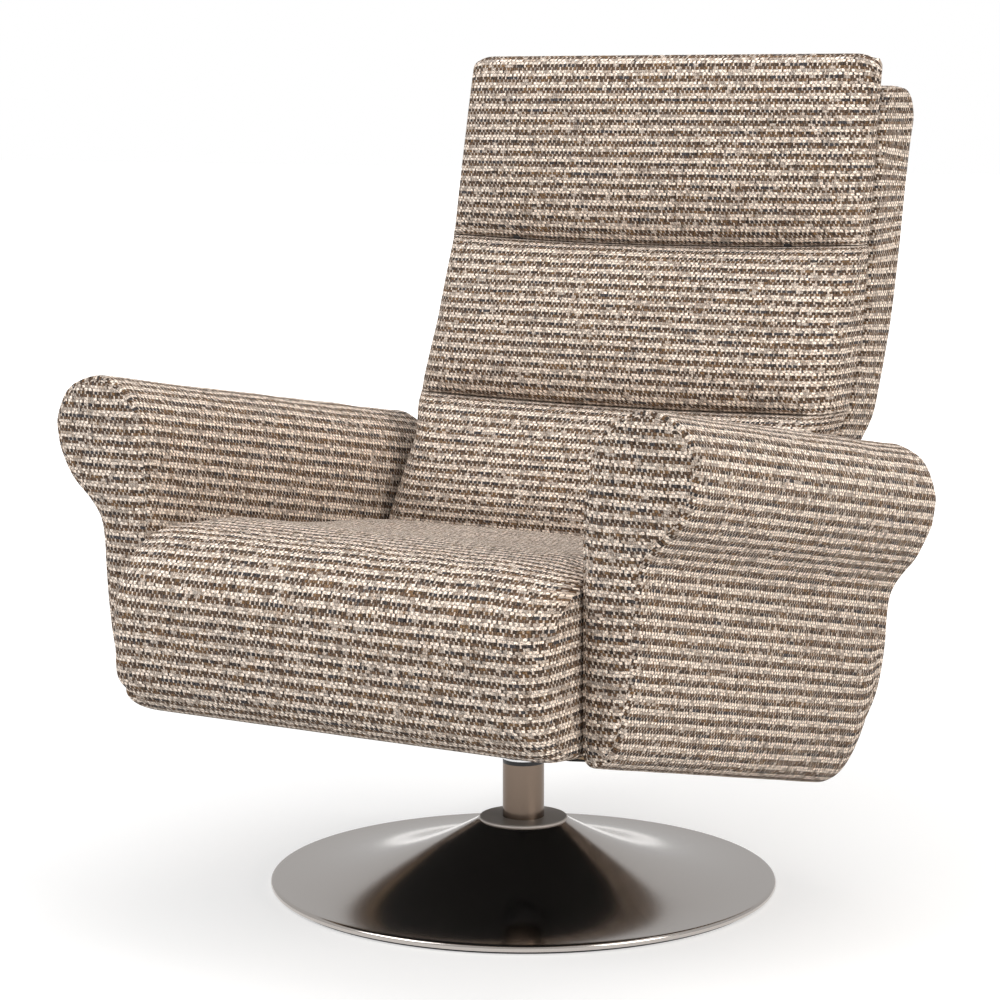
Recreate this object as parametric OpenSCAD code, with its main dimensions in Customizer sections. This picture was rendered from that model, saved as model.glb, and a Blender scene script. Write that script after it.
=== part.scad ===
// Swivel recliner on a round trumpet foot: upholstered seat, arms and back, with a tilting headrest.
// The origin is the middle of the foot on the floor, +Z is up, and the sitter looks along -Y.

/* [Foot and column] */
// Diameter of the round foot
foot_d = 610; // [560:5:660]
// Height of the foot cover's rolled rim above the felt
rim_h = 8; // [6:0.5:12]
// Height at which the trumpet cover meets the hub ring
cover_h = 80; // [72:1:90]
// Thickness of the spun steel cover
cover_wall = 2; // [1.5:0.1:2.5]
// Diameter of the flat hub ring round the column
hub_d = 106; // [96:1:116]
// Thickness of the hub ring
hub_t = 3; // [2:0.5:5]
// Thickness of the felt under the foot
felt_t = 3; // [2:0.5:4]
// Diameter of the cast ballast plate
ballast_d = 520; // [480:5:530]
// Thickness of the ballast plate's rim
ballast_t = 6; // [4:0.5:7]
// Outer diameter of the column tube
column_d = 50; // [46:1:54]
// Wall of the column tube
column_wall = 3; // [2.5:0.5:4]
// Height of the column tube's top above the floor
column_top = 149; // [140:1:152]
// Diameter of the swivel spindle
spindle_d = 35; // [30:1:38]

/* [Seat] */
// Half the width of the seat cushion
seat_half = 280; // [260:1:300]
// Distance of the seat's front face ahead of the column
seat_front = 430; // [410:1:450]
// Height of the seat's front top edge
seat_front_h = 442; // [430:1:460]
// Height of the seat where it meets the back
seat_rear_h = 409; // [400:1:415]
// Height of the seat's rolled front lower edge
seat_under_h = 262; // [256:1:280]
// Depth of the full height block at the front of the seat
block_depth = 86; // [84:1:92]
// Height of the webbing above the seat's bars, where the seat meets the back
pad_rise = 55; // [50:1:60]
// Radius of the seat's front top edge
seat_top_r = 36; // [25:1:45]
// Radius of the seat's front corners, seen from above
seat_corner_r = 36; // [26:1:38]
// Radius of the seat's front lower edge
seat_under_r = 46; // [30:1:55]
// Height of the crown in the middle of the seat
seat_crown = 14; // [5:1:20]

/* [Arms] */
// Width of an arm from its inner face to the outside of the roll
arm_w = 138; // [130:1:150]
// Distance of the arms' front faces ahead of the column
arm_front = 346; // [330:1:350]
// Distance of the arms' rear faces behind the column
arm_rear = 235; // [225:1:245]
// Height of the arm's top at the front
arm_top_h = 628; // [610:1:640]
// Height of the arm's top at the rear
arm_top_rear_h = 536; // [520:1:550]
// Height of the arm's lower edge at the front
arm_low_h = 247; // [240:1:252]
// Height at which the arm's lower edge would reach the rear face
arm_low_rear_h = 121; // [115:1:130]
// Radius of the arm's lower rear corner
arm_heel_r = 88; // [60:1:100]
// Distance that the arms' rear faces lean back over their height
arm_rear_lean = 34; // [20:1:40]
// Overhang of the arm's roll behind the rear face
arm_roll_back = 6; // [2:1:12]
// Distance by which the arm's roll is narrower at the rear
arm_taper = 5; // [0:1:12]

/* [Back] */
// Distance of the back's foot behind the column, where it meets the seat
joint_y = 100; // [95:1:105]
// Distance of the lower crease behind the column
low_crease_y = 203; // [195:1:210]
// Height of the lower crease
low_crease_z = 565; // [550:1:580]
// Distance of the upper crease behind the column
high_crease_y = 297; // [290:1:300]
// Height of the upper crease
high_crease_z = 764; // [755:1:775]
// Distance of the back's front top edge behind the column
top_y = 349; // [345:1:355]
// Height of the headrest's top
top_z = 988; // [970:1:1000]
// Height of the shell's top
shell_top_z = 953; // [940:1:965]
// Thickness of the upholstered shell at its top
shell_t = 112; // [95:1:125]
// Distance that the back stands out over the arms at each side
over_arms = 14; // [6:1:18]
// Crown of the three back cushions
back_crown = 25; // [15:1:30]
// Thickness of the headrest cushion at its top
head_top_t = 25; // [20:1:35]
// Thickness of the frame boards in the back
board_t = 18; // [12:1:19]

/* [Mechanism] */
// Distance of the recline axis behind the column
pivot_y = 172; // [170:1:176]
// Height of the gas spring's middle above the seat's bars
gas_rise = 30.6; // [28:0.1:32]
// Diameter of the recline pins
pivot_d = 16; // [14:1:18]
// Radius of the recline lever at its pin
lever_r = 60; // [55:1:64]
// Recline angle of the back from upright
recline_angle = 30; // [20:1:32]
// Diameter of the gas spring cylinder
gas_d = 22; // [18:1:24]
// Diameter of the gas spring rod
gas_rod_d = 8; // [8:1:10]
// Thickness of the side rails
rail_t = 18; // [15:1:20]
// Outer size of the square tubes under the seat
bar_s = 30; // [25:1:32]

/* [Hidden] */

// Finishes of the pieces
FABRIC = "#a8917a";
NICKEL = "#8d857c";
STEEL = "#9a9a98";
BLACK = "#1b1b1c";
WOOD = "#c9a877";
FELT = "#2b2a29";

// Clearances shared by all pieces
fit_gap = 0.05;
soft_gap = 0.4;
cut = 1;
round_fn = 64;

// Sizes that several pieces share
foot_r = foot_d / 2;
hub_r = hub_d / 2;
column_r = column_d / 2;
column_bore_r = column_r - column_wall;
spindle_r = spindle_d / 2;
spindle_bore_r = spindle_r + fit_gap;
pivot_r = pivot_d / 2;
pin_r = 5;
side_clear = 1;
arm_inner = seat_half + side_clear;
back_half = seat_half - side_clear;

// Height of the arms' lower edge, which falls to the rear, and of the seat frame that follows it
arm_low_slope = (arm_low_h - arm_low_rear_h) / (arm_front + arm_rear);
frame_lift = 7;
function low_line(y) = arm_low_h - arm_low_slope * (y + arm_front);
function frame_line(y) = low_line(y) + frame_lift;

// Heights of the swivel plate, the bars on it, the gas spring and the recline axis, from the frame up
plate_t = 6;
plate_half_y = 92;
plate_clear = 5;
bar_low = frame_line(-plate_half_y) + plate_clear + plate_t;
bar_top = bar_low + bar_s;
gas_z = bar_top + gas_rise;
pivot_z = gas_z + lever_r * cos(recline_angle / 4);

// Interpolates between two numbers or points
function mix(a, b, t) = a + (b - a) * t;
// Average of a ring's points
function ring_mean(ring) = [for (k = [0:2]) [for (p = ring) p[k]] * [for (p = ring) 1] / len(ring)];
// Point on a radius about the recline axis, as [y, z], with the angle measured from the rear
function about_pivot(r, a) = [pivot_y + r * cos(a), pivot_z + r * sin(a)];

// Closed solid through a list of rings, each turning the same way, with fans over both ends
module loft(rings, first_centre, last_centre) {
    n = len(rings[0]);
    m = len(rings);
    points = concat([for (r = rings) each r], [first_centre, last_centre]);
    sides = [for (j = [0:m - 2], i = [0:n - 1]) let (k = (i + 1) % n)
        each [[j * n + i, (j + 1) * n + k, j * n + k], [j * n + i, (j + 1) * n + i, (j + 1) * n + k]]];
    first = [for (i = [0:n - 1]) [m * n, i, (i + 1) % n]];
    last = [for (i = [0:n - 1]) [m * n + 1, (m - 1) * n + (i + 1) % n, (m - 1) * n + i]];
    polyhedron(points = points, faces = concat(sides, first, last));
}

// Loft whose end fans meet at the average of the end rings
module mean_loft(rings) {
    loft(rings, ring_mean(rings[0]), ring_mean(rings[len(rings) - 1]));
}

// Round bar along X from x0 to x1 at a side-view place [y, z]
module axle(r, x0, x1, at) {
    translate([x0, at[0], at[1]]) rotate([0, 90, 0]) cylinder(r = r, h = x1 - x0, $fn = round_fn);
}

// Side-view outline, drawn as [y, z], carried along X from x0 to x1
module side_plate(x0, x1) {
    translate([x0, 0, 0]) rotate([90, 0, 90]) linear_extrude(x1 - x0) children();
}

// Block between two corners
module block(low, high) {
    translate(low) cube(high - low);
}

// The same piece on the sitter's right, which is -X
module other_side() {
    mirror([1, 0, 0]) children();
}

// Foot: felt, ballast, spun cover and hub ring

cover_land_r = 2 * hub_r / 3;
cover_curve = 2.1;
cover_steps = 18;
rim_low = felt_t;
rim_r = rim_h / 2;

// Height of the cover's outside at a radius, between the hub ring and the rim
function cover_z(r) = felt_t + rim_h + (cover_h - felt_t - rim_h)
    * pow((foot_r - rim_r - r) / (foot_r - rim_r - hub_r), cover_curve);
// Slope of the same curve, used to keep the wall even
function cover_slope(r) = (cover_h - felt_t - rim_h) * cover_curve / (foot_r - rim_r - hub_r)
    * pow((foot_r - rim_r - r) / (foot_r - rim_r - hub_r), cover_curve - 1);
function cover_under(r) = cover_z(r) - cover_wall * sqrt(1 + pow(cover_slope(r), 2));

felt_r = foot_r - rim_h;

module floor_felt() {
    color(FELT) cylinder(r = felt_r, h = felt_t, $fn = 96);
}

boss_r = 60;
boss_h = 16;
ballast_step_r = 0.72 * ballast_d / 2;
ballast_step_h = 12;
bolt_r = 4;
bolt_head_r = 6.5;
bolt_head_h = 5;
bolt_count = 4;
bolt_circle_r = 46;
bolt_clear = 0.25;
bolt_hole_r = bolt_r + bolt_clear;
head_hole_r = bolt_head_r + 2 * bolt_clear;

// Places of the bolts that hold the column's flange
module at_column_bolts() {
    for (i = [0:bolt_count - 1])
        rotate(45 + i * 360 / bolt_count) translate([bolt_circle_r, 0, 0]) children();
}

module ballast_plate() {
    color(FELT) difference() {
        translate([0, 0, felt_t]) rotate_extrude($fn = 96) polygon([
            [0, 0], [ballast_d / 2, 0], [ballast_d / 2, ballast_t], [ballast_step_r, ballast_t],
            [ballast_step_r - ballast_t, ballast_step_h], [boss_r + ballast_t, ballast_step_h],
            [boss_r, boss_h], [0, boss_h]
        ]);
        at_column_bolts() {
            translate([0, 0, felt_t - cut]) cylinder(r = head_hole_r, h = bolt_head_h + cut, $fn = 32);
            translate([0, 0, felt_t]) cylinder(r = bolt_hole_r, h = boss_h + cut, $fn = 32);
        }
    }
}

module foot_cover() {
    outer = [for (i = [0:cover_steps]) let (r = mix(hub_r, foot_r - rim_r, i / cover_steps)) [r, cover_z(r)]];
    rim = [for (a = [60:-30:-90])
        [foot_r - rim_r + rim_r * cos(a), rim_low + rim_r + rim_r * sin(a)]];
    inner = [for (i = [cover_steps - 1:-1:0])
        let (r = mix(hub_r, foot_r - rim_r, i / cover_steps)) [r, cover_under(r)]];
    color(NICKEL) rotate_extrude($fn = 128) polygon(concat(
        [[cover_land_r, cover_h - cover_wall], [cover_land_r, cover_h]], outer, rim,
        [[felt_r - cover_wall, rim_low], [felt_r - cover_wall, rim_low + cover_wall]], inner));
}

module hub_ring() {
    chamfer = hub_t / 3;
    color(NICKEL) translate([0, 0, cover_h]) rotate_extrude($fn = 96) polygon([
        [column_r + fit_gap, 0], [hub_r, 0], [hub_r, hub_t - chamfer], [hub_r - chamfer, hub_t],
        [column_r + fit_gap, hub_t]
    ]);
}

// Column: tube with a welded flange, bolts, bushes and thrust ring

flange_t = 6;
column_low = felt_t + boss_h;
bush_h = 28;
bush_flange_h = 5;
thrust_h = 2.5;
swivel_z = column_top + bush_flange_h + thrust_h;

module column_tube() {
    color(NICKEL) difference() {
        union() {
            translate([0, 0, column_low]) cylinder(r = column_r, h = column_top - column_low, $fn = round_fn);
            translate([0, 0, column_low]) cylinder(r = boss_r, h = flange_t, $fn = round_fn);
        }
        translate([0, 0, column_low - cut])
            cylinder(r = column_bore_r, h = column_top - column_low + 2 * cut, $fn = round_fn);
        at_column_bolts() translate([0, 0, column_low - cut])
            cylinder(r = bolt_hole_r, h = flange_t + 2 * cut, $fn = 32);
    }
}

module column_bolts() {
    nut_h = 6;
    head_z = felt_t;
    color(STEEL) at_column_bolts() {
        translate([0, 0, head_z]) cylinder(r = bolt_head_r, h = bolt_head_h, $fn = 32);
        translate([0, 0, head_z]) cylinder(r = bolt_r, h = boss_h + flange_t + nut_h, $fn = 32);
        translate([0, 0, column_low + flange_t]) cylinder(r = bolt_head_r, h = nut_h, $fn = 6);
    }
}

module lower_bush() {
    color(BLACK) translate([0, 0, column_low + flange_t + bush_flange_h]) difference() {
        cylinder(r = column_bore_r - fit_gap, h = bush_h, $fn = round_fn);
        translate([0, 0, -cut]) cylinder(r = spindle_bore_r, h = bush_h + 2 * cut, $fn = round_fn);
    }
}

module upper_bush() {
    color(BLACK) difference() {
        union() {
            translate([0, 0, column_top - bush_h])
                cylinder(r = column_bore_r - fit_gap, h = bush_h, $fn = round_fn);
            translate([0, 0, column_top]) cylinder(r = column_r, h = bush_flange_h, $fn = round_fn);
        }
        translate([0, 0, column_top - bush_h - cut])
            cylinder(r = spindle_bore_r, h = bush_h + bush_flange_h + 2 * cut, $fn = round_fn);
    }
}

module thrust_ring() {
    color(STEEL) translate([0, 0, column_top + bush_flange_h]) difference() {
        cylinder(r = column_r, h = thrust_h, $fn = round_fn);
        translate([0, 0, -cut]) cylinder(r = spindle_bore_r, h = thrust_h + 2 * cut, $fn = round_fn);
    }
}

// Swivel: spindle, clip, plate, bolts and the two bars that carry the seat

plate_z = bar_low - plate_t;
plate_half_x = 110;
plate_corner_r = 16;
swivel_bolt_x = 90;
bar_y = 70;
bar_wall = 2.5;
swivel_bolt_r = 5;
swivel_bolt_hole_r = 5.3;
clip_t = 1.8;
clip_rise = 2.5;
clip_r = spindle_r + clip_rise;
groove_depth = 2;
clip_groove_r = spindle_r - groove_depth;
clip_play = 0.2;
clip_z = column_low + flange_t + bush_flange_h - clip_t - clip_play;
spindle_tail = 5;
spindle_low = clip_z - spindle_tail;
hub_wall = 1;

module swivel_spindle() {
    color(BLACK) rotate_extrude($fn = round_fn) polygon([
        [0, spindle_low], [spindle_r, spindle_low], [spindle_r, clip_z - fit_gap],
        [clip_groove_r, clip_z - fit_gap], [clip_groove_r, clip_z + clip_t + fit_gap],
        [spindle_r, clip_z + clip_t + fit_gap], [spindle_r, swivel_z], [column_r + hub_wall, swivel_z],
        [column_r + hub_wall, swivel_z + bush_flange_h], [column_r, swivel_z + bush_flange_h + hub_wall],
        [column_r, plate_z], [0, plate_z]
    ]);
}

module spindle_clip() {
    opening_half = 7;
    color(STEEL) translate([0, 0, clip_z]) difference() {
        cylinder(r = clip_r, h = clip_t, $fn = round_fn);
        translate([0, 0, -cut]) cylinder(r = clip_groove_r + fit_gap, h = clip_t + 2 * cut, $fn = round_fn);
        block([0, -opening_half, -cut], [clip_r + cut, opening_half, clip_t + cut]);
    }
}

// Places of the four bolts through the swivel plate and the bars
module at_swivel_bolts() {
    for (x = [-swivel_bolt_x, swivel_bolt_x], y = [-bar_y, bar_y]) translate([x, y, 0]) children();
}

module swivel_plate() {
    window_r = 18;
    color(BLACK) difference() {
        translate([0, 0, plate_z]) linear_extrude(plate_t) difference() {
            hull() for (x = [-1, 1], y = [-1, 1])
                translate([x * (plate_half_x - plate_corner_r), y * (plate_half_y - plate_corner_r)])
                    circle(r = plate_corner_r, $fn = 32);
            for (x = [-1, 1])
                translate([x * (plate_half_x + column_r) / 2, 0]) circle(r = window_r, $fn = 48);
        }
        at_swivel_bolts() translate([0, 0, plate_z - cut])
            cylinder(r = swivel_bolt_hole_r, h = plate_t + 2 * cut, $fn = 32);
    }
}

module swivel_bolts() {
    head_r = 8.5;
    head_h = 6.4;
    color(STEEL) at_swivel_bolts() {
        translate([0, 0, plate_z - head_h]) cylinder(r = head_r, h = head_h, $fn = 6);
        translate([0, 0, plate_z - head_h])
            cylinder(r = swivel_bolt_r, h = plate_t + bar_s + 2 * head_h, $fn = 32);
        translate([0, 0, bar_low + bar_s]) cylinder(r = head_r, h = head_h, $fn = 6);
    }
}

// Square steel tube across the seat at a distance y behind the column
module cross_bar(y) {
    half = arm_inner - rail_t;
    color(BLACK) difference() {
        block([-half, y - bar_s / 2, bar_low], [half, y + bar_s / 2, bar_low + bar_s]);
        block([-half - cut, y - bar_s / 2 + bar_wall, bar_low + bar_wall],
            [half + cut, y + bar_s / 2 - bar_wall, bar_low + bar_s - bar_wall]);
        at_swivel_bolts() translate([0, 0, bar_low - cut])
            cylinder(r = swivel_bolt_hole_r, h = bar_s + 2 * cut, $fn = 32);
    }
}

module front_bar() { cross_bar(-bar_y); }
module rear_bar() { cross_bar(bar_y); }

// Seat frame: side rails, end rails, webbing and covers

frame_front = seat_front - block_depth - soft_gap;
frame_rear = 52;
rail_tail = 4;
end_rail_t = 20;
strap_t = 2;
pad_slope_share = 0.87;
pad_slope = pad_slope_share * (seat_front_h - seat_rear_h) / (seat_front + joint_y);
rear_tail = bar_y + bar_s / 2 + rail_tail;
gas_room = 3;
gas_hole_r = gas_d / 2 + gas_room;

// Height of the pad's underside
function pad_line(y) = bar_top + pad_rise - pad_slope * (y - joint_y);

module side_rail() {
    tail_z = bar_top + rail_tail;
    color(WOOD) difference() {
        side_plate(arm_inner - rail_t, arm_inner) polygon([
            [-frame_front, frame_line(-frame_front)], [rear_tail, frame_line(rear_tail)], [rear_tail, tail_z],
            [frame_rear, tail_z], [frame_rear, pad_line(frame_rear)], [-frame_front, pad_line(-frame_front)]
        ]);
        arm_bolt_set(arm_bolt_len, bolt_hole_r, bolt_head_r);
    }
}

module left_side_rail() { side_rail(); }
module right_side_rail() { other_side() side_rail(); }

// Board between the side rails from y0 to y1, under the webbing
module end_rail(y0, y1, low) {
    half = arm_inner - rail_t;
    side_plate(-half, half) polygon([
        [y0, low], [y1, low], [y1, pad_line(y1) - strap_t], [y0, pad_line(y0) - strap_t]
    ]);
}

module front_rail() {
    color(WOOD) end_rail(-frame_front, end_rail_t - frame_front, frame_line(-frame_front));
}

module rear_rail() {
    color(WOOD) difference() {
        end_rail(frame_rear - end_rail_t, frame_rear, bar_top + cut);
        translate([0, frame_rear - end_rail_t - cut, gas_z]) rotate([-90, 0, 0])
            cylinder(r = gas_hole_r, h = end_rail_t + 2 * cut, $fn = 48);
    }
}

module seat_webbing() {
    strap_w = 64;
    strap_count = 6;
    pitch = 84;
    color(BLACK) for (i = [0:strap_count - 1]) {
        x = (i - (strap_count - 1) / 2) * pitch;
        side_plate(x - strap_w / 2, x + strap_w / 2) polygon([
            [-frame_front, pad_line(-frame_front) - strap_t], [frame_rear, pad_line(frame_rear) - strap_t],
            [frame_rear, pad_line(frame_rear)], [-frame_front, pad_line(-frame_front)]
        ]);
    }
}

cover_t = 4;
cover_hole_room = 4;
cover_hole_r = column_r + cover_hole_room;

module underside_cover() {
    half = arm_inner - rail_t;
    front = frame_front;
    rear = rear_tail;
    color(BLACK) difference() {
        side_plate(-half, half) polygon([
            [-front, frame_line(-front) - cover_t], [rear, frame_line(rear) - cover_t],
            [rear, frame_line(rear)], [-front, frame_line(-front)]
        ]);
        translate([0, 0, column_top]) cylinder(r = cover_hole_r, h = bar_low - column_top, $fn = round_fn);
    }
}

panel_t = 14;
panel_r = arm_heel_r;
panel_inset = 4;
panel_top_h = 270;

// Upholstered panel that closes the seat box between the arms at the rear
module rear_panel() {
    outer_r = panel_r - panel_inset;
    inner_r = outer_r - panel_t;
    cy = arm_rear - panel_r;
    cz = low_line(cy) + panel_r;
    steps = 8;
    heel = [for (i = [steps:-1:0]) let (a = -90 * i / steps) [cy + outer_r * cos(a), cz + outer_r * sin(a)]];
    inside = [for (i = [0:steps]) let (a = -90 * i / steps) [cy + inner_r * cos(a), cz + inner_r * sin(a)]];
    front = rear_tail + soft_gap;
    color(FABRIC) side_plate(-arm_inner, arm_inner) polygon(concat(
        [[front, low_line(front) + panel_inset]], heel,
        [[cy + outer_r, panel_top_h], [cy + inner_r, panel_top_h]], inside,
        [[front, low_line(front) + panel_inset + panel_t]]));
}

// Seat cushion: one soft block with a crowned top and rolled front edges

back_sweep_r = norm([pivot_y - joint_y, seat_rear_h - pivot_z]);
seat_end_r = 22;
seat_sections_share = [0, 0.12, 0.3, 0.5, 0.7, 0.88, 1];
seat_end_angles = [90, 60, 35, 15];
seat_top_steps = 7;
front_face_shares = [0.42, 0.58];
seat_centre_share = 0.6;

// Fall of the cushion's surface towards its side seams, for a distance inside the seam
function end_fall(d, r) = d >= r ? 0 : r - sqrt(r * r - pow(r - d, 2));
// Crown that stays full over the middle and drops to nothing at both ends of 0 to 1
function crown_share(t) = 1 - pow(abs(2 * t - 1), 4);

// Side view of the seat at x, turning from the front lower roll to the rear and back over the top
function seat_ring(x) =
    let (fall = end_fall(seat_half - abs(x), seat_end_r),
        across = crown_share((x / seat_half + 1) / 2),
        y0 = -seat_front + end_fall(seat_half - abs(x), seat_corner_r),
        low = seat_under_h + fall, high = seat_front_h - fall,
        bulge = across * seat_crown / 2,
        heel_y = -seat_front + block_depth)
    concat(
        [for (a = [180:22.5:270])
            [x, y0 + seat_under_r + seat_under_r * cos(a), low + seat_under_r + seat_under_r * sin(a)]],
        [[x, heel_y, low - arm_low_slope * (block_depth - seat_under_r)],
            [x, heel_y, pad_line(heel_y)],
            [x, joint_y, pad_line(joint_y)],
            [x, joint_y, seat_rear_h]],
        [for (i = [1:seat_top_steps - 1]) let (t = i / seat_top_steps, y = mix(joint_y, y0 + seat_top_r, t))
            [x, y, mix(seat_rear_h, high, t) + seat_crown * across * crown_share(t) - fall * (1 - t)]],
        [for (a = [90:22.5:180])
            [x, y0 + seat_top_r + seat_top_r * cos(a), high - seat_top_r + seat_top_r * sin(a)]],
        [for (s = front_face_shares) [x, y0 - bulge, mix(high, low, s)]]
    );

module seat_cushion() {
    inner = seat_half - seat_end_r;
    ends = [for (a = seat_end_angles) inner + seat_end_r * sin(a)];
    xs = concat([for (x = ends) -x], [for (s = seat_sections_share) mix(-inner, inner, s)],
        [for (i = [len(ends) - 1:-1:0]) ends[i]]);
    rings = [for (x = xs) seat_ring(x)];
    centre_y = -seat_front + block_depth / 2;
    centre_z = mix(seat_under_h, seat_front_h, seat_centre_share);
    color(FABRIC) difference() {
        loft(rings, [-seat_half, centre_y, centre_z], [seat_half, centre_y, centre_z]);
        axle(back_sweep_r + soft_gap, -seat_half - cut, seat_half + cut, [pivot_y, pivot_z]);
    }
}

// Arms: upholstered boards with a rolled top that flares outwards

// Outline of an arm's front from its inner lower corner, up, over the roll and down the outside:
// shares of the arm's width and of its height
arm_outline_shares = [
    [0, 0.04], [0, 0.22], [0, 0.45], [0, 0.664], [0.014, 0.743], [0.043, 0.811], [0.109, 0.9],
    [0.254, 0.963], [0.5, 1], [0.754, 0.979], [0.899, 0.942], [1, 0.866], [0.993, 0.811],
    [0.957, 0.761], [0.833, 0.685], [0.659, 0.625], [0.55, 0.572], [0.512, 0.507], [0.5, 0.425],
    [0.478, 0.315], [0.435, 0.202], [0.355, 0.089], [0.25, 0.025], [0.08, 0.002]
];
arm_centre_share = [0.3, 0.68];
// Stations along the arm: share of its length, share of the edge radius that the outline is drawn in,
// and share of the roll's overhang at the rear
arm_station_shares = [
    [0, 1, 0], [0, 0.3, 0], [0, 0, 0], [0.12, 0, 0], [0.28, 0, 0], [0.45, 0, 0], [0.62, 0, 0],
    [0.78, 0, 0], [0.86, 0, 0], [0.91, 0, 0], [0.95, 0, 0], [0.98, 0, 0.1], [1, 0, 0.25],
    [1, 0.35, 0.45], [1, 1, 0.65], [1, 1.7, 0.9]
];
arm_edge_r = 8;
low_inset_share = 1.1;
heel_to_share = 0.45;
roll_side_share = 0.5;
roll_from_share = 0.68;
roll_to_share = 0.8;

arm_bottom_slope = arm_low_slope;
arm_top_slope = (arm_top_h - arm_top_rear_h) / (arm_front + arm_rear);

// Rise of the arm's lower part round its heel, at a distance y and a share w of the height
function heel_rise(y, w) = end_fall(max(0, arm_rear - y), arm_heel_r) * max(0, 1 - w / heel_to_share);
// Part of the roll's overhang that a share of the height takes
function roll_share(w) = min(1, max(0, (w - roll_from_share) / (roll_to_share - roll_from_share)));

// Unit direction into the arm at an outline point, from its two neighbours
function inward(i) =
    let (n = len(arm_outline_shares), a = arm_outline_shares[(i + n - 1) % n],
        b = arm_outline_shares[(i + 1) % n],
        d = [(b[0] - a[0]) * arm_w, (b[1] - a[1]) * (arm_top_h - arm_low_h)])
    [d[1], -d[0]] / norm(d);

// Place of an outline point at a station along the arm
function arm_point(i, station) =
    let (s = arm_outline_shares[i], n = inward(i),
        inset = station[1] > 1 ? mix(low_inset_share, station[1], roll_share(s[1])) : station[1],
        edge = inset * arm_edge_r,
        fall = end_fall(edge, arm_edge_r),
        rear = arm_rear - fall + arm_rear_lean * s[1] + arm_roll_back * roll_share(s[1]) * station[2],
        taper = arm_taper * station[0] * max(0, s[0] - roll_side_share) / (1 - roll_side_share),
        y = mix(-arm_front + fall, rear, station[0]),
        low = arm_low_h - arm_bottom_slope * (y + arm_front),
        high = arm_top_h - arm_top_slope * (y + arm_front))
    [arm_inner + s[0] * arm_w - taper + n[0] * edge, y,
        mix(low, high, s[1]) + heel_rise(y, s[1]) + n[1] * edge];

arm_board_t = 18;
board_margin = 24;
bracket_t = 6;

// Side view of the arm's inner board, kept inside the padding
module arm_board_outline(grow) {
    front_y = -arm_front + board_margin;
    rear_y = arm_rear - board_margin;
    heel_y = arm_rear - arm_heel_r;
    function low(y) = low_line(y) + board_margin / 2;
    function seat_line(y) = mix(seat_front_h, seat_rear_h, (y + seat_front) / (seat_front + joint_y));
    rear_high = max(seat_rear_h - board_margin, bracket_z1 + board_margin / 4);
    polygon([
        [front_y - grow, low(front_y) - grow], [heel_y, low(heel_y) - grow],
        [rear_y + grow, low(heel_y) + arm_heel_r / 2 - grow], [rear_y + grow, rear_high + grow],
        [joint_y, rear_high + grow], [front_y - grow, seat_line(front_y) - board_margin + grow]
    ]);
}

module arm_form() {
    n = len(arm_outline_shares);
    rings = [for (station = arm_station_shares) [for (i = [0:n - 1]) arm_point(i, station)]];
    cx = arm_inner + arm_centre_share[0] * arm_w;
    front_z = mix(arm_low_h, arm_top_h, arm_centre_share[1]);
    rear_z = mix(arm_low_rear_h, arm_top_rear_h, arm_centre_share[1]);
    rear_y = arm_rear + arm_rear_lean * arm_centre_share[1] + arm_roll_back / 2;
    color(FABRIC) difference() {
        loft(rings, [cx, -arm_front, front_z], [cx, rear_y, rear_z]);
        side_plate(arm_inner - cut, arm_inner + arm_board_t + soft_gap) arm_board_outline(soft_gap);
        arm_bolt_set(arm_bolt_len + soft_gap, bolt_r + soft_gap, bolt_head_r);
    }
}

module left_arm() { arm_form(); }
module right_arm() { other_side() arm_form(); }

bracket_front = 42;
bracket_back = 36;
bracket_below = 46;
bracket_above = 40;
bracket_y0 = pivot_y - bracket_front;
bracket_y1 = pivot_y + bracket_back;
bracket_z0 = pivot_z - bracket_below;
bracket_z1 = pivot_z + bracket_above;

module arm_board() {
    color(WOOD) difference() {
        side_plate(arm_inner, arm_inner + arm_board_t) arm_board_outline(0);
        block([arm_inner - cut, bracket_y0, bracket_z0], [arm_inner + bracket_t, bracket_y1, bracket_z1]);
        arm_bolt_set(arm_bolt_len + cut, bolt_hole_r, bolt_head_r);
        bracket_screw_set(bracket_screw_r + screw_clear, bracket_screw_len + cut);
    }
}

module left_arm_board() { arm_board(); }
module right_arm_board() { other_side() arm_board(); }

arm_bolt_len = arm_board_t;
arm_bolt_y_shares = [0.12, 0.5, 0.88];
arm_bolt_z_share = 0.6;

// Bolts from a side rail's inner face through its arm board, with heads on the rail
module arm_bolt_set(len, r, head_r) {
    for (s = arm_bolt_y_shares) {
        y = mix(-frame_front, frame_rear, s);
        at = [y, mix(frame_line(y), pad_line(y), arm_bolt_z_share)];
        axle(r, arm_inner - rail_t, arm_inner + len, at);
        axle(head_r, arm_inner - rail_t - bolt_head_h, arm_inner - rail_t, at);
    }
}

module arm_bolts() {
    color(STEEL) {
        arm_bolt_set(arm_bolt_len, bolt_r, bolt_head_r);
        other_side() arm_bolt_set(arm_bolt_len, bolt_r, bolt_head_r);
    }
}

// Recline hinges in the arms: brackets let into the arm boards, with stub pins

bracket_screw_r = 3;
bracket_screw_len = 16;

// Places of the four screws that hold a bracket to its arm board
module bracket_screw_set(r, len) {
    inset = 10;
    for (y = [bracket_y0 + inset, bracket_y1 - inset], z = [bracket_z0 + inset, bracket_z1 - inset])
        axle(r, arm_inner, arm_inner + len, [y, z]);
}

module bracket_screws() {
    color(STEEL) for (side = [0, 1]) mirror([side, 0, 0])
        bracket_screw_set(bracket_screw_r, bracket_screw_len);
}

pin_flange_r = 13;
pin_flange_t = 1.5;
pin_tail_r = 6;
hinge_in = 31;
hinge_x = arm_inner - hinge_in;
hinge_arm_t = 8;
pin_reach_in = 3;
pin_end_x = hinge_x - pin_reach_in;

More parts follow.
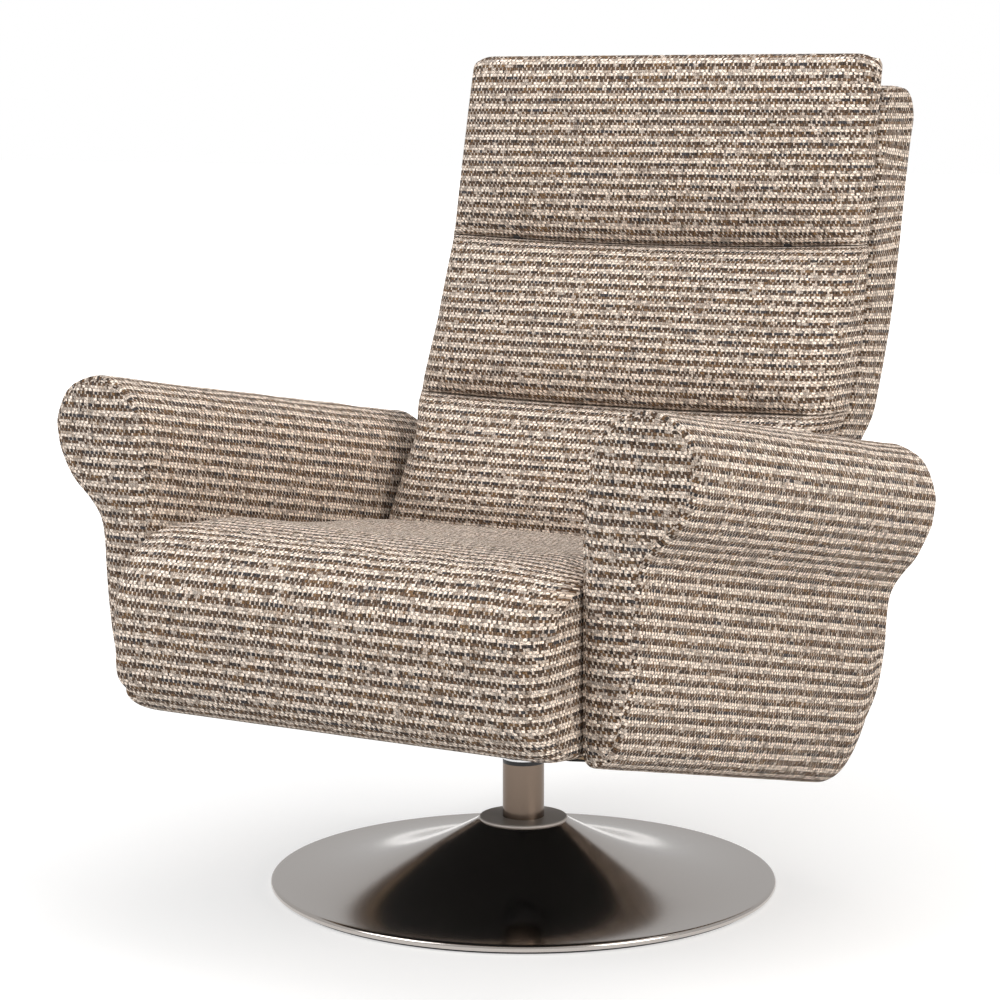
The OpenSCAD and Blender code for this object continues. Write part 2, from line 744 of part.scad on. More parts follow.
module hinge_bracket() {
    color(STEEL) difference() {
        block([arm_inner, bracket_y0 + soft_gap, bracket_z0 + soft_gap],
            [arm_inner + bracket_t, bracket_y1 - soft_gap, bracket_z1 - soft_gap]);
        axle(pin_tail_r + fit_gap, arm_inner - cut, arm_inner + bracket_t + cut, [pivot_y, pivot_z]);
        bracket_screw_set(bracket_screw_r + screw_clear, bracket_t + cut);
    }
}

module left_hinge_bracket() { hinge_bracket(); }
module right_hinge_bracket() { other_side() hinge_bracket(); }

module pivot_pin() {
    at = [pivot_y, pivot_z];
    color(STEEL) union() {
        axle(pivot_r, pin_end_x, arm_inner, at);
        axle(pin_flange_r, arm_inner - pin_flange_t, arm_inner, at);
        axle(pin_tail_r, arm_inner - cut, arm_inner + bracket_t, at);
    }
}

module left_pivot_pin() { pivot_pin(); }
module right_pivot_pin() { other_side() pivot_pin(); }

// Gas spring: bracket and pin on the front bar, cylinder, and the rod with its slotted fork

gas_r = gas_d / 2;
gas_rod_r = gas_rod_d / 2;
gas_wall = 2;
gas_neck = 14;
gas_front = -bar_y + gas_neck;
gas_rear = 104;
gas_cap = 10;
eye_r = 12;
eye_half_w = 8.5;
cheek_t = 4;
cheek_gap = 0.3;
gas_at = [-bar_y, gas_z];

module gas_spring_bracket() {
    x0 = eye_half_w + cheek_gap;
    foot_t = 4;
    foot_half = 34;
    top = bar_top;
    color(BLACK) difference() {
        union() {
            block([-foot_half, -bar_y - bar_s / 2, top], [foot_half, -bar_y + bar_s / 2, top + foot_t]);
            for (x = [-x0 - cheek_t, x0]) {
                axle(eye_r, x, x + cheek_t, gas_at);
                block([x, -bar_y - eye_r, top], [x + cheek_t, -bar_y + eye_r, gas_z]);
            }
        }
        axle(pin_r + fit_gap, -foot_half, foot_half, gas_at);
    }
}

module gas_spring_pin() {
    half = eye_half_w + cheek_gap + cheek_t;
    head_t = 2;
    color(STEEL) {
        axle(pin_r, -half, half, gas_at);
        for (x = [-half - head_t, half]) axle(pin_r + head_t, x, x + head_t, gas_at);
    }
}

module gas_spring_cylinder() {
    bore = gas_r - gas_wall;
    length = gas_rear - gas_front;
    neck = gas_front + bar_y;
    color(BLACK) difference() {
        union() {
            translate([0, gas_front, gas_z]) rotate([-90, 0, 0]) rotate_extrude($fn = round_fn) polygon([
                [0, 0], [gas_r, 0], [gas_r, length], [gas_rod_r + fit_gap, length],
                [gas_rod_r + fit_gap, length - gas_cap], [bore, length - gas_cap],
                [bore, gas_cap], [0, gas_cap]
            ]);
            axle(eye_r, -eye_half_w, eye_half_w, gas_at);
            block([-eye_half_w, -bar_y, gas_z - eye_half_w],
                [eye_half_w, -bar_y + neck + cut, gas_z + eye_half_w]);
        }
        axle(pin_r + fit_gap, -eye_half_w - cut, eye_half_w + cut, gas_at);
    }
}

lever_at = about_pivot(lever_r, 270 + recline_angle / 2);
lever_half_t = 6;
piston_t = 8;
piston_depth = 52;
piston_y = gas_front + gas_cap + piston_depth;

module gas_spring_rod() {
    y1 = lever_at[0] - fork_back;
    color(STEEL) union() {
        translate([0, piston_y, gas_z]) rotate([-90, 0, 0])
            cylinder(r = gas_rod_r, h = y1 - piston_y, $fn = 48);
        translate([0, piston_y, gas_z]) rotate([-90, 0, 0])
            cylinder(r = gas_r - gas_wall - fit_gap * 2, h = piston_t, $fn = 48);
    }
}

fork_back = 28;
fork_throat = 18;
fork_cheek_t = 5;
fork_gap = 0.5;
fork_half_h = 14;
slot_clear = 0.1;
slot_travel = lever_r * (1 - cos(recline_angle / 2));

// Fork on the rod's end: its upright slots let the lever's pin rise and fall as it swings
module rod_fork() {
    x0 = lever_half_t + fork_gap;
    x1 = x0 + fork_cheek_t;
    color(STEEL) difference() {
        block([-x1, lever_at[0] - fork_back, gas_z - fork_half_h],
            [x1, lever_at[0] + fork_half_h, gas_z + fork_half_h]);
        block([-x0, lever_at[0] - fork_throat, gas_z - fork_half_h - cut],
            [x0, lever_at[0] + fork_half_h + cut, gas_z + fork_half_h + cut]);
        hull() for (z = [gas_z - slot_travel, gas_z + slot_travel])
            axle(pin_r + slot_clear, -x1 - cut, x1 + cut, [lever_at[0], z]);
    }
}

// Back frame: hinge arms, bushes, cross tube, lever and board

bush_wall = 2;
bush_r = pivot_r + fit_gap + bush_wall;
eye_outer_r = 22;
tube_r = 16;
tube_wall = 3;
pad_belly_y = 323;
pad_belly_z = 655;
high_pad_t = 41;
board_clear = 0.4;
board_gap = board_t + 2 * board_clear;

// Rear face of the back cushions at a height
function pad_rear(z) = lookup(z, [[pivot_z, pivot_y], [pad_belly_z, pad_belly_y],
    [high_crease_z, high_crease_y + high_pad_t], [top_z, top_y + head_top_t]]);

// Strip that follows the rear of the cushions from one height to another, for the boards
module gap_strip(z0, z1, t) {
    mids = [for (z = [pad_belly_z, high_crease_z]) if (z > z0 && z < z1) z];
    zs = concat([z0], mids, [z1]);
    polygon(concat(
        [for (z = zs) [pad_rear(z) + board_clear, z]],
        [for (i = [len(zs) - 1:-1:0]) [pad_rear(zs[i]) + board_clear + t, zs[i]]]));
}

board_above_pivot = 44;
board_below_crease = 14;
hinge_above_crease = 20;
board_low_z = pivot_z + board_above_pivot;
board_high_z = high_crease_z - board_below_crease;
hinge_top_z = low_crease_z + hinge_above_crease;

module hinge_arm() {
    at = [pivot_y, pivot_z];
    color(STEEL) difference() {
        union() {
            axle(eye_outer_r, hinge_x, hinge_x + hinge_arm_t, at);
            side_plate(hinge_x, hinge_x + hinge_arm_t) gap_strip(pivot_z, hinge_top_z, board_t);
        }
        axle(bush_r + fit_gap, hinge_x - cut, hinge_x + hinge_arm_t + cut, at);
        board_screw_row(screw_r + screw_clear, hinge_x - cut, hinge_x + hinge_arm_t + cut);
    }
}

module left_hinge_arm() { hinge_arm(); }
module right_hinge_arm() { other_side() hinge_arm(); }

module pivot_bush() {
    at = [pivot_y, pivot_z];
    color(BLACK) difference() {
        axle(bush_r, hinge_x, hinge_x + hinge_arm_t, at);
        axle(pivot_r + fit_gap, hinge_x - cut, hinge_x + hinge_arm_t + cut, at);
    }
}

module left_pivot_bush() { pivot_bush(); }
module right_pivot_bush() { other_side() pivot_bush(); }

module cross_tube() {
    at = [pivot_y, pivot_z];
    color(STEEL) difference() {
        axle(tube_r, -hinge_x, hinge_x, at);
        axle(tube_r - tube_wall, -hinge_x - cut, hinge_x + cut, at);
    }
}

lever_tip_r = 11;
lever_hub_r = 24;
lever_neck_half = 9;
lever_root_half = 18;

module recline_lever() {
    at = [pivot_y, pivot_z];
    across = [(at - lever_at)[1], -(at - lever_at)[0]] / lever_r;
    color(STEEL) difference() {
        side_plate(-lever_half_t, lever_half_t) union() {
            translate(at) circle(r = lever_hub_r, $fn = 48);
            translate(lever_at) circle(r = lever_tip_r, $fn = 48);
            polygon([
                lever_at + across * lever_neck_half, at + across * lever_root_half,
                at - across * lever_root_half, lever_at - across * lever_neck_half
            ]);
        }
        axle(tube_r + fit_gap, -lever_half_t - cut, lever_half_t + cut, at);
        axle(pin_r + fit_gap, -lever_half_t - cut, lever_half_t + cut, lever_at);
    }
}

module lever_pin() {
    half = lever_half_t + fork_gap + fork_cheek_t + 1;
    head_t = 2;
    color(STEEL) {
        axle(pin_r, -half, half, lever_at);
        for (x = [-half - head_t, half]) axle(pin_r + head_t, x, x + head_t, lever_at);
    }
}

ratchet_x = 190;
ratchet_t = 4;
ratchet_r = 6;
ratchet_pin_r = 3;
head_pivot_in = 13;
head_pivot = [high_crease_y + head_pivot_in, high_crease_z];

module back_board() {
    hole_r = 40;
    hole_pitch = 150;
    hole_rows = [pad_belly_z - hole_pitch / 2, pad_belly_z + hole_pitch / 4];
    color(WOOD) difference() {
        side_plate(-hinge_x, hinge_x) gap_strip(board_low_z, board_high_z, board_t);
        for (x = [-hole_pitch, 0, hole_pitch], z = hole_rows)
            translate([x, pivot_y, z]) rotate([-90, 0, 0])
                cylinder(r = hole_r, h = back_half, $fn = round_fn);
        ratchet_slots(ratchet_x, ratchet_x + ratchet_t);
        for (side = [0, 1]) mirror([side, 0, 0])
            board_screw_row(screw_r + screw_clear, hinge_x - screw_len, hinge_x + cut);
    }
}

screw_r = 3;
screw_clear = 0.2;
screw_len = 26;
screw_z_shares = [0.15, 0.5, 0.85];

// Round bars at the places of the board's screws on one side, from x0 to x1
module board_screw_row(r, x0, x1) {
    for (s = screw_z_shares) {
        z = mix(board_low_z, hinge_top_z, s);
        axle(r, x0, x1, [pad_rear(z) + board_clear + board_t / 2, z]);
    }
}

// Screws through the hinge arms into the edges of the board
module board_screws() {
    head_x = hinge_x + hinge_arm_t;
    color(STEEL) for (side = [0, 1]) mirror([side, 0, 0]) {
        board_screw_row(2 * screw_r, head_x, head_x + screw_r);
        board_screw_row(screw_r, hinge_x - screw_len + screw_r, head_x);
    }
}

// Headrest ratchets: a base on the back board and an arm on the head board share one pin

leaf_h = 9;
leaf_reach = 34;
blade_w = 12;

// Front edge of a leaf's blade, which lies along the boards
function blade_y(z) = pad_rear(z) + board_clear + (board_t - blade_w) / 2;

// Room for the ratchet leaves behind the cushions and in the boards, between x0 and x1 on both sides
module ratchet_slots(x0, x1) {
    for (side = [0, 1]) mirror([side, 0, 0])
        block([x0 - soft_gap, head_pivot[0], high_crease_z - leaf_reach - soft_gap],
            [x1 + soft_gap, pad_rear(top_z), high_crease_z + leaf_reach + soft_gap]);
}

// One leaf: a knuckle on the pin, an arm to the rear and a blade along the board
module ratchet_leaf(x, up) {
    root_z = high_crease_z - up * ratchet_r / 4;
    inner_z = high_crease_z + up * leaf_h;
    tip_z = high_crease_z + up * leaf_reach;
    color(STEEL) difference() {
        union() {
            axle(ratchet_r, x, x + ratchet_t, head_pivot);
            side_plate(x, x + ratchet_t) polygon([
                head_pivot + [0, -up * ratchet_r / 4], [blade_y(root_z) + blade_w, root_z],
                [blade_y(tip_z) + blade_w, tip_z], [blade_y(tip_z), tip_z],
                [blade_y(inner_z), inner_z], head_pivot + [0, up * ratchet_r]
            ]);
        }
        axle(ratchet_pin_r + fit_gap, x - cut, x + ratchet_t + cut, head_pivot);
    }
}

leaf_gap = 0.3;
pin_room = 3;

module left_ratchet_base() { ratchet_leaf(ratchet_x, -1); }
module right_ratchet_base() { other_side() ratchet_leaf(ratchet_x, -1); }
module left_ratchet_arm() { ratchet_leaf(ratchet_x + ratchet_t + leaf_gap, 1); }
module right_ratchet_arm() { other_side() ratchet_leaf(ratchet_x + ratchet_t + leaf_gap, 1); }

module ratchet_pin() {
    head_t = 1.5;
    x1 = ratchet_x + 2 * ratchet_t + leaf_gap;
    color(STEEL) {
        axle(ratchet_pin_r, ratchet_x, x1, head_pivot);
        axle(ratchet_pin_r + head_t, ratchet_x - head_t, ratchet_x, head_pivot);
        axle(ratchet_pin_r + head_t, x1, x1 + head_t, head_pivot);
    }
}

module left_ratchet_pin() { ratchet_pin(); }
module right_ratchet_pin() { other_side() ratchet_pin(); }

head_board_low = 10;
head_board_high = 30;
head_board_side = 20;

module head_board() {
    z0 = high_crease_z + head_board_low;
    z1 = shell_top_z - head_board_high;
    half = hinge_x - head_board_side;
    shift = ratchet_x + ratchet_t + leaf_gap;
    color(WOOD) difference() {
        side_plate(-half, half) gap_strip(z0, z1, board_t);
        ratchet_slots(shift, shift + ratchet_t);
    }
}

// Back cushions: lofted pads with a crown between their creases

front_corner_r = 20;
rear_corner_r = 10;
front_steps = 9;
front_corner_share = 0.45;
rear_corner_share = 0.4;

widen_rise = 60;
// Half width of the back at a height: between the arms below, and standing out over them above
function back_side(z) = let (t = min(1, max(0, (z - low_crease_z) / widen_rise + 1)))
    back_half + over_arms * t * t * (3 - 2 * t);

// Ring round a cushion between a front and a rear point [y, z], from its front left corner
function pad_ring(front, rear, half, crown, rf, rr) =
    let (t = norm(rear - front), e = (rear - front) / t,
        f = min(rf, t * front_corner_share), r = min(rr, t * rear_corner_share), flat = half - f,
        shape = concat(
            [for (i = [0:front_steps]) let (s = i / front_steps)
                [mix(-flat, flat, s), -crown * crown_share(s)]],
            [for (a = [-60, -30, 0]) [flat + f * cos(a), f + f * sin(a)]],
            [for (a = [0, 45, 90]) [half - r + r * cos(a), t - r + r * sin(a)]],
            [for (a = [90, 135, 180]) [r - half + r * cos(a), t - r + r * sin(a)]],
            [for (a = [180, 210, 240]) [-flat + f * cos(a), f + f * sin(a)]]))
    [for (p = shape) [p[0], front[0] + e[0] * p[1], front[1] + e[1] * p[1]]];

crease_gap = 1;
crease_r = 16;
top_round_share = 0.4;
// Distances from a crease at which its rounded edge has stations, as shares of its radius
crease_steps = [0, 0.07, 0.22, 0.5, 1];
pad_shares = [0.2, 0.35, 0.5, 0.65, 0.8];
crown_end_share = 0.93;
head_taper = 5;

// Cushion between two creases, given as [y, z] front points, whose rear face follows the boards
module crease_pad(low, high, rounded_top) {
    span = norm(high - low);
    top_r = rounded_top ? top_round_share * head_top_t : crease_r;
    last_share = rounded_top ? crown_end_share : 1;
    stations = concat([for (d = crease_steps) d * crease_r / span], pad_shares,
        [for (i = [len(crease_steps) - 1:-1:0]) 1 - crease_steps[i] * top_r / span]);
    rings = [for (t = stations)
        let (up = end_fall(span * (1 - t), top_r), z = mix(low[1], high[1], t),
            front = end_fall(span * t, crease_r) + up, rear = rounded_top ? up : 0)
        pad_ring([mix(low[0], high[0], t) + front, z], [pad_rear(z) - rear, z],
            back_side(z) - (rounded_top ? head_taper * t : 0), back_crown * crown_share(t * last_share),
            front_corner_r, rear_corner_r)];
    mean_loft(rings);
}

eye_room = 4;
pocket_r = eye_outer_r + eye_room;
lever_side_room = 8;
lever_room_half = lever_half_t + fork_cheek_t + lever_side_room;
lever_room_r = lever_hub_r + lever_side_room;

// Room in the soft parts for the cross tube, the hinge eyes and the lever
module hinge_room() {
    at = [pivot_y, pivot_z];
    axle(tube_r + cut, -back_half - cut, back_half + cut, at);
    axle(pocket_r, hinge_x - eye_room, back_half + cut, at);
    axle(pocket_r, -back_half - cut, eye_room - hinge_x, at);
    axle(lever_room_r, -lever_room_half, lever_room_half, at);
}

lumbar_wrap = 32.7;
joint_angle = atan2(seat_rear_h - pivot_z, joint_y - pivot_y);
lumbar_low_angle = joint_angle + lumbar_wrap;

// Lumbar cushion: its lower front is round the recline axis, so that it turns inside the seat's rear wall
module lumbar_cushion() {
    joint = [joint_y, seat_rear_h];
    high = [low_crease_y, low_crease_z - crease_gap];
    arc_steps = 4;
    arc = [for (i = [0:arc_steps - 1]) let (s = i / arc_steps)
        pad_ring(about_pivot(back_sweep_r, mix(lumbar_low_angle, joint_angle, s)),
            [pad_rear(mix(pivot_z, seat_rear_h, s)), mix(pivot_z, seat_rear_h, s)],
            back_half, 0, front_corner_r, rear_corner_r)];
    span = norm(high - joint);
    shares = concat([0, 0.08], pad_shares,
        [for (i = [len(crease_steps) - 1:-1:0]) 1 - crease_steps[i] * crease_r / span]);
    rise = [for (t = shares)
        let (z = mix(joint[1], high[1], t), front = end_fall(span * (1 - t), crease_r))
        pad_ring([mix(joint[0], high[0], t) + front, z], [pad_rear(z), z],
            back_side(z), back_crown * crown_share(t), front_corner_r, rear_corner_r)];
    color(FABRIC) difference() {
        mean_loft(concat(arc, rise));
        hinge_room();
    }
}

module middle_cushion() {
    color(FABRIC) difference() {
        crease_pad([low_crease_y, low_crease_z + crease_gap],
            [high_crease_y, high_crease_z - crease_gap], false);
        ratchet_room();
    }
}

module head_cushion() {
    color(FABRIC) difference() {
        crease_pad([high_crease_y, high_crease_z + crease_gap], [top_y, top_z], true);
        ratchet_room();
    }
}

// Room in the cushions for both ratchet leaves of each side
module ratchet_room() {
    x1 = ratchet_x + 2 * ratchet_t + leaf_gap;
    for (side = [0, 1]) mirror([side, 0, 0]) {
        axle(ratchet_r + soft_gap, ratchet_x - pin_room, x1 + pin_room, head_pivot);
        block([ratchet_x - cut, head_pivot[0], high_crease_z - leaf_reach - cut],
            [x1 + cut, pad_rear(top_z), high_crease_z + leaf_reach + cut]);
    }
}

// Shell: the thick upholstered back behind the boards

shell_in = 1;
shell_rear_r = 24;
shell_front_r = 8;
shell_top_r = 42;
// Heights of the shell's stations below and above the boards' two knees, as shares,
// and its thickness at all of them, as shares
shell_low_shares = [0.04, 0.21, 0.38, 0.61, 0.84, 1];
shell_high_shares = [0, 0.6];
shell_knee_share = 0.45;
shell_thick_shares = [0.4, 0.58, 0.7, 0.8, 0.8, 0.78, 0.85, 0.9, 0.94];
shell_low_angle = 315;
shell_low_r = 26;
shell_low_t = 46;
shell_sag_share = 0.18;

module back_shell() {
    heights = concat([for (s = shell_low_shares) mix(pivot_z, pad_belly_z, s)],
        [mix(pad_belly_z, high_crease_z, shell_knee_share)],
        [for (s = shell_high_shares) mix(high_crease_z, shell_top_z, s)]);
    last = len(heights) - 1;
    rows = [for (i = [0:last])
        let (z = heights[i], t = shell_t * shell_thick_shares[i],
            sag = t * shell_sag_share * (1 - i / last))
        [[pad_rear(z) + board_gap, z], [pad_rear(z) + board_gap + t, z - sag]]];
    foot = [[about_pivot(shell_low_r, shell_low_angle),
        about_pivot(shell_low_r + shell_low_t, shell_low_angle)]];
    top_z0 = shell_top_z - shell_top_r;
    top = [for (a = [0, 25, 50, 70, 90])
        let (z = top_z0 + shell_top_r * sin(a), fall = shell_top_r * (1 - cos(a)))
        [[pad_rear(z) + board_gap + fall / 4, z], [pad_rear(z) + board_gap + shell_t - fall, z]]];
    rings = [for (r = concat(foot, rows, top))
        pad_ring(r[0], r[1], back_side(r[0][1]) - shell_in, 0, shell_front_r, shell_rear_r)];
    color(FABRIC) difference() {
        mean_loft(rings);
        hinge_room();
    }
}

floor_felt();
ballast_plate();
foot_cover();
hub_ring();
column_tube();
column_bolts();
lower_bush();
upper_bush();
thrust_ring();
swivel_spindle();
spindle_clip();
swivel_plate();
swivel_bolts();
front_bar();
rear_bar();
left_side_rail();
right_side_rail();
front_rail();
rear_rail();
seat_webbing();
seat_cushion();
underside_cover();
rear_panel();
left_arm_board();
right_arm_board();
left_arm();
right_arm();
arm_bolts();
left_hinge_bracket();
right_hinge_bracket();
bracket_screws();
left_pivot_pin();
right_pivot_pin();
gas_spring_bracket();
gas_spring_pin();
gas_spring_cylinder();
left_hinge_arm();
right_hinge_arm();
left_pivot_bush();
right_pivot_bush();
cross_tube();
recline_lever();
lever_pin();
back_board();
board_screws();
lumbar_cushion();
middle_cushion();
back_shell();
left_ratchet_base();
right_ratchet_base();
left_ratchet_pin();
right_ratchet_pin();
head_cushion();
head_board();
left_ratchet_arm();
right_ratchet_arm();
gas_spring_rod();
rod_fork();
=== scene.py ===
"""Looks of the swivel recliner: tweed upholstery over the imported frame, on a spun nickel foot."""

import math

import bmesh
import bpy
import numpy as np
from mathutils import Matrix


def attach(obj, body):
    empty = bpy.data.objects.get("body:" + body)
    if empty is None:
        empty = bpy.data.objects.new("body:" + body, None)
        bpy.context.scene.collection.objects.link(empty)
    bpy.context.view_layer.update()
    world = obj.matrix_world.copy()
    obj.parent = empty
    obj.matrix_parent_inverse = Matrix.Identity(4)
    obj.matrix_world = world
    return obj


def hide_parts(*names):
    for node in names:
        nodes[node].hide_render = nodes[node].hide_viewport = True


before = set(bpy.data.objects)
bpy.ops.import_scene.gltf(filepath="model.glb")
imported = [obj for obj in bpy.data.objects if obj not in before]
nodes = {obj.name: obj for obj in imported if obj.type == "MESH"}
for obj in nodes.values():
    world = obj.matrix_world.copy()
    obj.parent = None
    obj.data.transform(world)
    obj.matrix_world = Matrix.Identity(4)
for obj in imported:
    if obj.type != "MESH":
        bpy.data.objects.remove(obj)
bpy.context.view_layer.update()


# Foot cover: one disc of steel, spun over a former into a trumpet with a rolled rim, then
# brushed round and round and plated in nickel. The brushing lines run in circles.

def nodes_of(name):
    """A new material with its principled shader, and the function that adds a node to it.

    add(kind, inputs, settings) makes a node, sets or links the inputs that it is given, and returns it.
    """
    made = bpy.data.materials.new(name)
    made.use_nodes = True
    tree = made.node_tree
    shader = next(n for n in tree.nodes if n.type == "BSDF_PRINCIPLED")

    def add(kind, inputs=None, **settings):
        node = tree.nodes.new(kind)
        for key, value in settings.items():
            setattr(node, key, value)
        for socket, value in (inputs or {}).items():
            if isinstance(value, bpy.types.NodeSocket):
                tree.links.new(value, node.inputs[socket])
            else:
                node.inputs[socket].default_value = value
        return node

    def link(source, socket):
        tree.links.new(source, shader.inputs[socket])

    return made, shader, add, link


def calc(add, operation, a, b=0.0, c=0.0):
    """One step of arithmetic on sockets or numbers."""
    return add("ShaderNodeMath", {0: a, 1: b, 2: c}, operation=operation).outputs[0]


def blend_colour(add, share, first, second):
    """Mix of two colours, from the first at share 0 to the second at share 1."""
    mixed = add("ShaderNodeMix", {0: share, 6: first, 7: second}, data_type="RGBA")
    return mixed.outputs[2]


def brushed(name, colour, roughness, turning, metallic=1.0):
    """Brushed metal: fine lines drawn out along the brushing, round Z where turning, else up it."""
    stretch, lines = (1.6, 900.0) if turning else (9.0, 40.0)
    made, shader, add, link = nodes_of(name)
    place = add("ShaderNodeSeparateXYZ", {0: add("ShaderNodeTexCoord").outputs["Object"]}).outputs
    radius = calc(add, "SQRT", calc(add, "ADD", calc(add, "MULTIPLY", place[0], place[0]),
                                    calc(add, "MULTIPLY", place[1], place[1])))
    angle = calc(add, "ARCTAN2", place[1], place[0])
    along, across = (angle, calc(add, "ADD", radius, place[2])) if turning else (place[2], angle)
    drawn = add("ShaderNodeCombineXYZ", {
        0: calc(add, "MULTIPLY", along, stretch),
        1: calc(add, "MULTIPLY", across, lines)}).outputs[0]
    grain = add("ShaderNodeTexNoise", {"Vector": drawn, "Scale": 1.0, "Detail": 3.0}).outputs[0]
    cloud = add("ShaderNodeTexNoise", {"Scale": 7.0, "Detail": 2.0,
                                       "Vector": add("ShaderNodeTexCoord").outputs["Object"]}).outputs[0]
    spread = calc(add, "ADD", calc(add, "MULTIPLY", grain, 0.05), calc(add, "MULTIPLY", cloud, 0.06))
    link(calc(add, "ADD", spread, roughness - 0.08), "Roughness")
    darker = [c * 0.93 for c in colour] + [1]
    link(blend_colour(add, grain, darker, list(colour) + [1]), "Base Color")
    relief = add("ShaderNodeBump", {"Strength": 0.03, "Distance": 0.0002, "Height": grain})
    link(relief.outputs[0], "Normal")
    shader.inputs["Metallic"].default_value = metallic
    shader.inputs["Anisotropic"].default_value = 0.55
    if turning:
        link(add("ShaderNodeTangent", direction_type="RADIAL", axis="Z").outputs[0], "Tangent")
    return made


def quads(rows, columns, start=0):
    """Corner indices of the faces of a grid of points, row after row."""
    corner = start + np.arange(rows - 1)[:, None] * columns + np.arange(columns - 1)[None, :]
    return np.stack([corner, corner + 1, corner + columns + 1, corner + columns], -1).reshape(-1, 4)


def piece_of(name, patches, material, smooth_levels=0):
    """Mesh made of grids of points in metres, each with its own map of the cloth in metres.

    Points of neighbouring grids that meet are joined, so the surface is closed. Faces end up pointing outwards.
    """
    points, maps, faces, start = [], [], [], 0
    for grid, chart in patches:
        faces.append(quads(*grid.shape[:2], start))
        points.append(grid.reshape(-1, 3))
        maps.append(chart.reshape(-1, 2))
        start += len(points[-1])
    points, maps, faces = np.concatenate(points), np.concatenate(maps), np.concatenate(faces)
    mesh = bpy.data.meshes.new(name)
    mesh.from_pydata(points.tolist(), [], faces.tolist())
    mesh.uv_layers.new(name="weave").data.foreach_set("uv", maps[faces.ravel()].astype(np.float32).ravel())
    work = bmesh.new()
    work.from_mesh(mesh)
    bmesh.ops.remove_doubles(work, verts=work.verts, dist=0.00002)
    bmesh.ops.dissolve_degenerate(work, edges=work.edges, dist=0.00002)
    bmesh.ops.recalc_face_normals(work, faces=work.faces)
    if work.calc_volume(signed=True) < 0:
        bmesh.ops.reverse_faces(work, faces=work.faces)
    work.to_mesh(mesh)
    work.free()
    mesh.polygons.foreach_set("use_smooth", np.ones(len(mesh.polygons), bool))
    mesh.materials.append(material)
    made = bpy.data.objects.new(name, mesh)
    bpy.context.scene.collection.objects.link(made)
    if smooth_levels:
        rounder = made.modifiers.new("rounder", "SUBSURF")
        rounder.levels = rounder.render_levels = smooth_levels
    return made


def turned(profile, count):
    """A profile of [radius, height] rows carried round Z: x = r cos a, y = r sin a, z = height."""
    angle = np.linspace(0, 2 * np.pi, count + 1)
    r, z = profile[:, 0][:, None], profile[:, 1][:, None]
    grid = np.stack([r * np.cos(angle), r * np.sin(angle), z + 0 * angle], -1)
    chart = np.stack([r * angle, z + 0 * angle], -1)
    return grid, chart


foot_r, foot_low, rim_r, cover_top, hub_r = 0.305, 0.003, 0.004, 0.080, 0.053
sheet, bore_r, sweep_power = 0.004, 0.034, 2.1
nickel = brushed("brushed_nickel_spun", (0.61, 0.565, 0.53), 0.16, turning=True)
share = np.linspace(0, 1, 60)
cover_run = foot_r - rim_r - hub_r
cover_rise = cover_top - foot_low - 2 * rim_r
cover_out = np.stack([hub_r + cover_run * share,
                      foot_low + 2 * rim_r + cover_rise * (1 - share) ** sweep_power], -1)
rim_angle = np.radians(np.linspace(80, -90, 18))
rim = np.stack([foot_r - rim_r + rim_r * np.cos(rim_angle), foot_low + rim_r * (1 + np.sin(rim_angle))], -1)
under = np.stack([hub_r + (cover_run - 0.012) * share[::-1],
                  foot_low + 2 * rim_r - sheet + cover_rise * share ** sweep_power], -1)
closing = np.array([[bore_r, cover_top - sheet / 2], [bore_r, cover_top], [hub_r, cover_top]])
foot = piece_of("foot_cover_spun", [turned(np.concatenate([cover_out, rim, under, closing]), 256)], nickel)
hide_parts("foot_cover")
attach(foot, "base")


# Column and hub ring: a drawn steel tube, brushed lengthways and plated like the foot, standing in a
# turned ring. A pressed felt disc and a cast iron ballast plate hide under the cover.

nickel_tube = brushed("brushed_nickel_tube", (0.21, 0.160, 0.125), 0.28, turning=False)
nickel_ring = brushed("brushed_nickel_ring", (0.74, 0.68, 0.63), 0.46, turning=False, metallic=0.35)


def coated(name, colour, roughness, grain_scale, relief, metallic=0.0, fleck=0.15):
    """Paint, moulded plastic, plating or cast skin: an even colour with cloudy wear and a fine grain."""
    made, shader, add, link = nodes_of(name)
    place = add("ShaderNodeTexCoord").outputs["Object"]
    grain = add("ShaderNodeTexNoise", {"Vector": place, "Scale": grain_scale, "Detail": 4.0}).outputs[0]
    cloud = add("ShaderNodeTexNoise", {"Vector": place, "Scale": 14.0, "Detail": 2.0}).outputs[0]
    low = [c * (1 - fleck) for c in colour] + [1]
    high = [min(1.0, c * (1 + fleck)) for c in colour] + [1]
    link(blend_colour(add, cloud, low, high), "Base Color")
    link(calc(add, "ADD", calc(add, "MULTIPLY", grain, 0.16), roughness - 0.08), "Roughness")
    link(add("ShaderNodeBump", {"Strength": 0.25, "Distance": relief, "Height": grain}).outputs[0], "Normal")
    shader.inputs["Metallic"].default_value = metallic
    return made


def finish_nodes(material, *names):
    """Gives CAD nodes their material."""
    for name in names:
        nodes[name].data.materials.clear()
        nodes[name].data.materials.append(material)


finish_nodes(nickel_tube, "column_tube")
finish_nodes(nickel_ring, "hub_ring")
finish_nodes(coated("felt_pressed", (0.05, 0.05, 0.052), 0.95, 900.0, 0.0006, fleck=0.4), "floor_felt")
finish_nodes(coated("iron_cast", (0.06, 0.06, 0.062), 0.7, 260.0, 0.0008), "ballast_plate")


# Swivel: black nylon bushes and a bright thrust washer on the column, under a black steel hub,
# plate and bars that are powder coated. Bolts, clips and pins are zinc plated.

